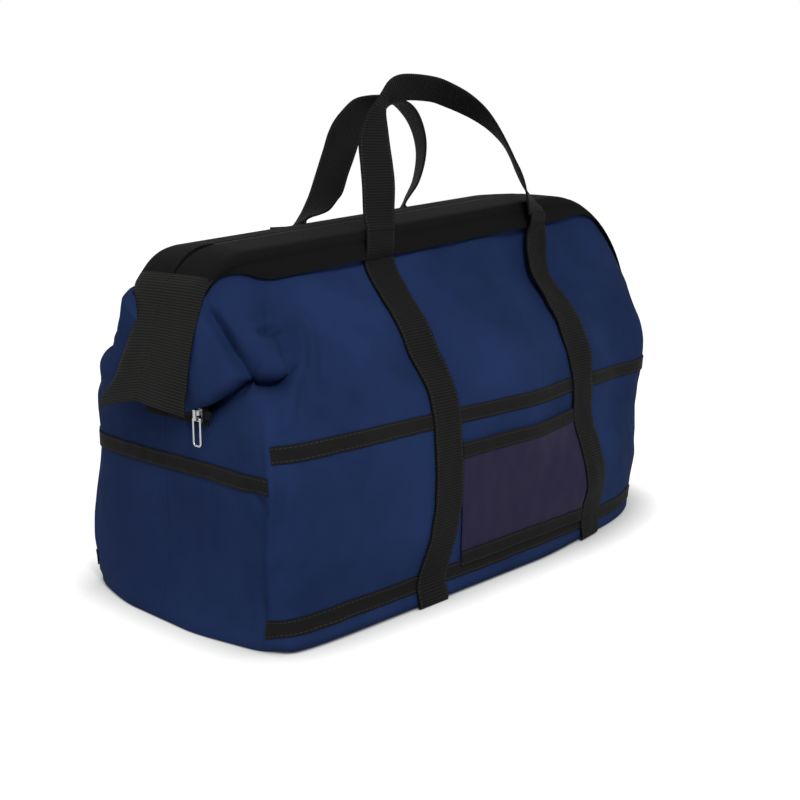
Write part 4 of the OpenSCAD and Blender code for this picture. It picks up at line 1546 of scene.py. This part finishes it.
@dataclass
class Webbing(SoftParts):
    """The straps on the body and the two handles.

    Attributes:
        width: Width of the webbing.
        thickness: Its thickness.
        spacing: Distance between the two straps of a side.
        rear_shift: How far the rear straps sit towards the flat end.
        off: How far the straps' outer face lies off the fabric.
        head_from: Share of a strap's length where its head on the band starts.
        face: Distance of that head from the bag's middle.
        fold_z: Height of the line about which the handles fold.
        below_ridge: How far the head stays below the ridge.
        strap_turn: How far the front's right-hand strap turns its edge out.
        strap_lean: How many degrees the foot of the front's left-hand strap lies to the left.
        steps: Faces along a handle.
    """

    width: float = 0.040
    thickness: float = 0.0024
    spacing: float = 0.260
    rear_shift: float = 0.015
    off: float = 0.0042
    head_from: float = 0.918
    face: float = 0.0679
    fold_z: float = 0.382
    below_ridge: float = 0.001
    strap_turn: float = math.radians(14)
    strap_lean: float = 4.0
    steps: int = 140

    def build(self) -> None:
        """Builds the straps and the handles."""
        for half in Half:
            self.straps(half)
            self.handle(half)

    def shift(self, half: Half) -> float:
        """Returns how far a half's straps sit towards the flat end."""
        return self.rear_shift if half is Half.REAR else 0.0

    def straps(self, half: Half) -> None:
        """Builds the two straps of one half, from the floor to the handle.

        Args:
            half: The half of the bag.
        """
        for side, word in ((-1, "flat"), (1, "round")):
            x = side * self.spacing / 2 - self.shift(half)
            a0, a1 = (self.form.angle_at(x + k * self.width / 2) for k in (-1, 1))
            ridge = self.form.mouth.ridge_z + self.form.mouth.ridge_lean * x
            foot, top = ridge - self.form.mouth.band_h + 0.004, min(self.fold_z, ridge - self.below_ridge)
            lean = self.strap_lean if half is Half.FRONT and side < 0 else 0.0
            turn = self.strap_turn if half is Half.FRONT and side > 0 else 0.0

            def place(u: Array, v: Array) -> Array:
                """Places the strap's points.

                Args:
                    u: Shares of the way across it.
                    v: Shares of the way up it.

                Returns:
                    Points, one a row.
                """
                t = np.minimum(v / self.head_from, 1.0) * 1.985 + 0.012
                p = self.forms[half].surface(a0 + (a1 - a0) * u - lean * eased(t, 0.55, 0), t, half, self.off)
                high = np.clip((v - self.head_from) / (1 - self.head_from), 0, 1)
                head = np.stack([x + (u - 0.5) * self.width, half.value * (self.face + 0 * u),
                                 foot + (top - foot) * high], axis=-1)
                k = eased(v, self.head_from - 0.06, self.head_from + 0.04)[:, None]
                p = p * (1 - k) + head * k
                out = turn * eased(v, 0.5, 0.75)
                p[:, 1] -= (1 - u) * self.width * np.sin(out)
                p[:, 0] += (1 - u) * self.width * (1 - np.cos(out))
                return p

            piece = sheet(f"{half.word}_{word}_strap", 8, 150, place, (self.width, 0.405), half is Half.REAR)
            self.fit(piece, "black_webbing", f"{half.word}_lower_straps", f"{half.word}_upper_straps",
                     f"{half.word}_strap_heads", wall=self.thickness, edge=0.0005)
            self.follow(piece, half)

    def handle(self, half: Half) -> None:
        """Builds one handle: a ribbon along a curve, with its width turned at each point.

        Args:
            half: The half of the bag.
        """
        line = FRONT_HANDLE if half is Half.FRONT else REAR_HANDLE
        path = curve_through([(x / 1000, y / 1000, z / 1000, *way) for x, y, z, *way in line], self.steps + 1)
        centre = path[:, :3]
        across = unit(path[:, 3:6])
        run = float(np.linalg.norm(np.diff(centre, axis=0), axis=1).sum())

        def place(u: Array, v: Array) -> Array:
            """Places the webbing's points."""
            i = np.rint(v * self.steps).astype(int)
            return centre[i] + across[i] * ((u - 0.5) * self.width)[:, None]

        piece = sheet(f"{half.word}_grip", 6, self.steps, place, (self.width, run), half is Half.REAR)
        self.fit(piece, "black_webbing", f"{half.word}_handle", wall=self.thickness, edge=0.0005)
        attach(piece, f"{half.word}_handle")


# Middle lines of the handles: x, y and z in millimetres, and the direction of the webbing's width
FRONT_HANDLE = (
    (-130, -68.6, 371, 1, 0, 0), (-131, -66.5, 384, .99, -.1, 0), (-130, -65, 415, .98, -.19, .02),
    (-130.5, -63, 436, .98, -.17, .02), (-132, -61.5, 455, .99, -.12, 0), (-131, -60.5, 470, .99, .02, .02),
    (-125.5, -59, 486, .93, .3, 0), (-118, -58, 497, .84, .5, -.1), (-111.4, -57, 503.3, .78, .58, -.24),
    (-102.2, -56, 508.6, .74, .51, -.44), (-92.3, -55, 512.4, .7, .46, -.55),
    (-79.4, -54, 515, .66, .46, -.6),
    (-56.7, -52, 515.8, .55, .58, -.6), (-28.6, -50, 514.6, .48, .67, -.57), (-5, -49, 509.9, .43, .73, -.52),
    (21.5, -48.5, 502.6, .45, .78, -.45), (48, -48, 492, .5, .82, -.29), (70, -49, 478.3, .61, .78, -.13),
    (89, -52, 459.5, .67, .73, .05), (99, -55, 444, .7, .7, .05), (106, -58, 430, .69, .72, .03),
    (110, -61.5, 418, .72, .69, 0), (115, -64.5, 405, .8, .6, 0), (122.5, -67, 392, .9, .4, 0),
    (127.5, -68.6, 385, .97, .24, 0), (128.5, -69.2, 379, .97, .24, 0))
REAR_HANDLE = (
    (-146, 68.6, 364, 1, 0, 0), (-142, 69, 365.5, .9, -.4, .2), (-133, 67.5, 368, .4, -.8, .45),
    (-121.2, 65, 373.5, -.1, -.93, .35), (-109.2, 65, 380.3, -.15, -.98, .1),
    (-95.8, 66, 389.7, 0, -.99, -.12),
    (-84.9, 66, 404, .12, -.95, -.29), (-76.1, 66, 419.4, .3, -.75, -.58), (-67.4, 66, 441, .5, -.48, -.72),
    (-57.3, 65, 464.7, .8, -.25, -.5), (-50, 64.5, 478, .9, -.18, -.35), (-40.4, 64, 488.5, .93, -.15, -.32),
    (-23.9, 64, 500.2, .88, 0, -.46), (-6.8, 64, 505.5, .8, .3, -.45), (14, 64, 509, .55, .75, -.3),
    (33.9, 64, 510, .3, .95, 0), (48.3, 64, 503.1, .22, .97, .11), (63.5, 64, 486.9, .34, .93, .14),
    (73.7, 65, 466, .44, .88, .16),
    (75.4, 66, 442.5, .55, .82, .17), (66.9, 66, 416.8, .62, .78, .06), (53.6, 66, 399.8, .64, .77, -.06),
    (46, 66.5, 389.3, .66, .74, -.09), (50, 72, 382, .4, .88, -.25), (62, 75, 379.5, .1, .93, -.36),
    (84, 75, 379, 0, .93, -.37), (100, 72, 379, .5, .8, -.3), (111, 69.5, 377, .9, .35, -.1),
    (115, 68.6, 372, 1, 0, 0))


@dataclass
class Patch(SoftParts):
    """The bare front patch and its two bindings.

    Attributes:
        z: Height of its lower edge.
        height: Its height.
        half_width: Half its width.
        tape_w: Width of the bindings.
        detail: How much of the fabric's wrinkles the patch follows.
    """

    z: float = 0.026
    height: float = 0.132
    half_width: float = 0.109
    tape_w: float = 0.016
    detail: float = 0.9

    def build(self) -> None:
        """Builds the patch's cloth and its bindings."""
        angles = tuple(self.form.angle_at(k * self.half_width) for k in (-1, 1))
        top = self.z + self.height
        for name, rows, low, high, off, slot, node, wall in (
                ("front_patch", 40, self.z, top, 0.0026, "patch_fabric", "patch_panel", 0.001),
                ("patch_lower_binding", 5, self.z, self.z + self.tape_w, 0.0038, "trim_tape",
                 "patch_bindings", 0.0012),
                ("patch_upper_binding", 5, top - self.tape_w, top, 0.0038, "trim_tape",
                 "patch_bindings", 0.0012)):
            heights = (low / self.form.join_z, high / self.form.join_z)
            place = self.on_shell(Half.FRONT, angles, heights, off, self.detail)
            piece = sheet(name, 60, rows, place, (2 * self.half_width, high - low))
            self.fit(piece, slot, node, wall=wall, edge=0.0003)
            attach(piece, "root")


# ---- Rigid parts ----


class RigidParts:
    """The frame's nodes that stay as they are and get a finish."""

    def __init__(self, finishes: Finishes) -> None:
        """Keeps the finishes."""
        self.finishes = finishes

    def build(self) -> None:
        """Gives each node that still shows the finish of its slot."""
        for part in frame["record"]["subparts"]:
            node = frame["nodes"][part["node"]]
            if not node.hide_render:
                self.finishes.apply(node, part["material_slot"])


# ---- Studio ----


@dataclass(frozen=True)
class Studio:
    """The camera, the lamps, the floor and the pale surroundings.

    Attributes:
        eye: Place of the camera.
        turn: How far it looks to the right of the +Y axis.
        down: How far it looks down.
        lens_mm: Its lens, on a frame 36 mm wide.
        shadow_reach: How far the contact shadow reaches.
        shadow_power: How fast it deepens.
        floor_glow: Light of the floor where nothing stands over it.
        sky_light: Strength of the surroundings as a light.
    """

    eye: Triple = (-0.98169, -0.9076, 0.4334)
    turn: float = math.radians(46.32)
    down: float = math.radians(11.385)
    lens_mm: float = 51.88
    shadow_reach: float = 0.06
    shadow_power: float = 1.6
    floor_glow: float = 0.88
    sky_light: float = 0.48

    def build(self) -> None:
        """Builds everything that lights and frames the bag."""
        self.camera()
        self.floor()
        self.world()
        self.lamp("key", (-1.0, -1.75, 1.6), (-0.25, -0.1, 0.2), 0.6, 38.0)
        self.lamp("fill", (-2.6, 0.3, 1.6), (0.0, 0.0, 0.2), 1.6, 6.0)
        bpy.context.scene.view_settings.view_transform = "Standard"

    def camera(self) -> None:
        """Sets up the camera."""
        data = bpy.data.cameras.new("camera")
        data.sensor_width = 36
        data.lens = self.lens_mm
        data.clip_start = 0.01
        cam = bpy.data.objects.new("camera", data)
        cam.location = self.eye
        ahead = Vector((math.sin(self.turn) * math.cos(self.down), math.cos(self.turn) * math.cos(self.down),
                        -math.sin(self.down)))
        cam.rotation_euler = ahead.to_track_quat("-Z", "Y").to_euler()
        bpy.context.scene.collection.objects.link(cam)
        bpy.context.scene.camera = cam

    def lamp(self, name: str, place: Triple, aim: Triple, size: float, power: float) -> None:
        """Adds one soft lamp.

        Args:
            name: Its name.
            place: Where it stands.
            aim: Where it points.
            size: Its width.
            power: Its power in watts.
        """
        data = bpy.data.lights.new(name, "AREA")
        data.shape = "DISK"
        data.size = size
        data.energy = power
        lamp = bpy.data.objects.new(name, data)
        lamp.location = place
        lamp.rotation_euler = (Vector(aim) - Vector(place)).to_track_quat("-Z", "Y").to_euler()
        bpy.context.scene.collection.objects.link(lamp)

    def floor(self) -> None:
        """Adds a white floor that keeps the bag's shadow, darkest where the bag stands close over it."""
        bm = bmesh.new()
        bmesh.ops.create_grid(bm, x_segments=1, y_segments=1, size=6.0)
        piece = settle("studio_floor", bm, False)
        shader = Shader("studio_white")
        shader.feed(Base_Color=(0.8, 0.8, 0.8, 1), Roughness=0.9)
        near = shader.node("ShaderNodeAmbientOcclusion", samples=8, Distance=self.shadow_reach)
        open_part = shader.math("POWER", near.outputs["AO"], self.shadow_power)
        glow = shader.node("ShaderNodeEmission")
        shader.link(shader.math("MULTIPLY", open_part, self.floor_glow), glow.inputs["Strength"])
        lit = shader.node("ShaderNodeBsdfDiffuse", Color=(0.4, 0.4, 0.4, 1))
        shown = shader.joined("ShaderNodeAddShader", lit.outputs[0], glow.outputs[0])
        mix = shader.joined("ShaderNodeMixShader", shader.looking(), shader.surface.outputs[0], shown)
        shader.link(mix, shader.tree.nodes["Material Output"].inputs["Surface"])
        piece.data.materials.append(shader.material)

    def world(self) -> None:
        """Adds the pale surroundings: white to the camera and in reflections, softer as a light."""
        world = bpy.data.worlds.new("studio")
        bpy.context.scene.world = world
        world.use_nodes = True
        nodes = Nodes(world.node_tree)
        light = nodes.tree.nodes["Background"]
        light.inputs["Color"].default_value = (1, 1, 1, 1)
        light.inputs["Strength"].default_value = self.sky_light
        white = nodes.node("ShaderNodeBackground", Color=(1, 1, 1, 1), Strength=1.0)
        mix = nodes.joined("ShaderNodeMixShader", nodes.looking(), light.outputs[0], white.outputs[0])
        nodes.link(mix, nodes.tree.nodes["World Output"].inputs["Surface"])


def main() -> None:
    """Builds the studio and every part of the bag, in order."""
    logging.basicConfig(level=logging.INFO, format="%(name)s: %(message)s")
    Studio().build()
    front = BagForm(folds=FOLDS)
    rear = replace(front, floor_square=9.0, seam_square=12.0, upper_square=7.5, rise_pull=0.65)
    forms = {Half.FRONT: front, Half.REAR: rear}
    finishes = Finishes()
    for kind in (Body, Mouth, Webbing, Patch):
        kind(forms, finishes).build()
    RigidParts(finishes).build()


if __name__ == "__main__":
    main()
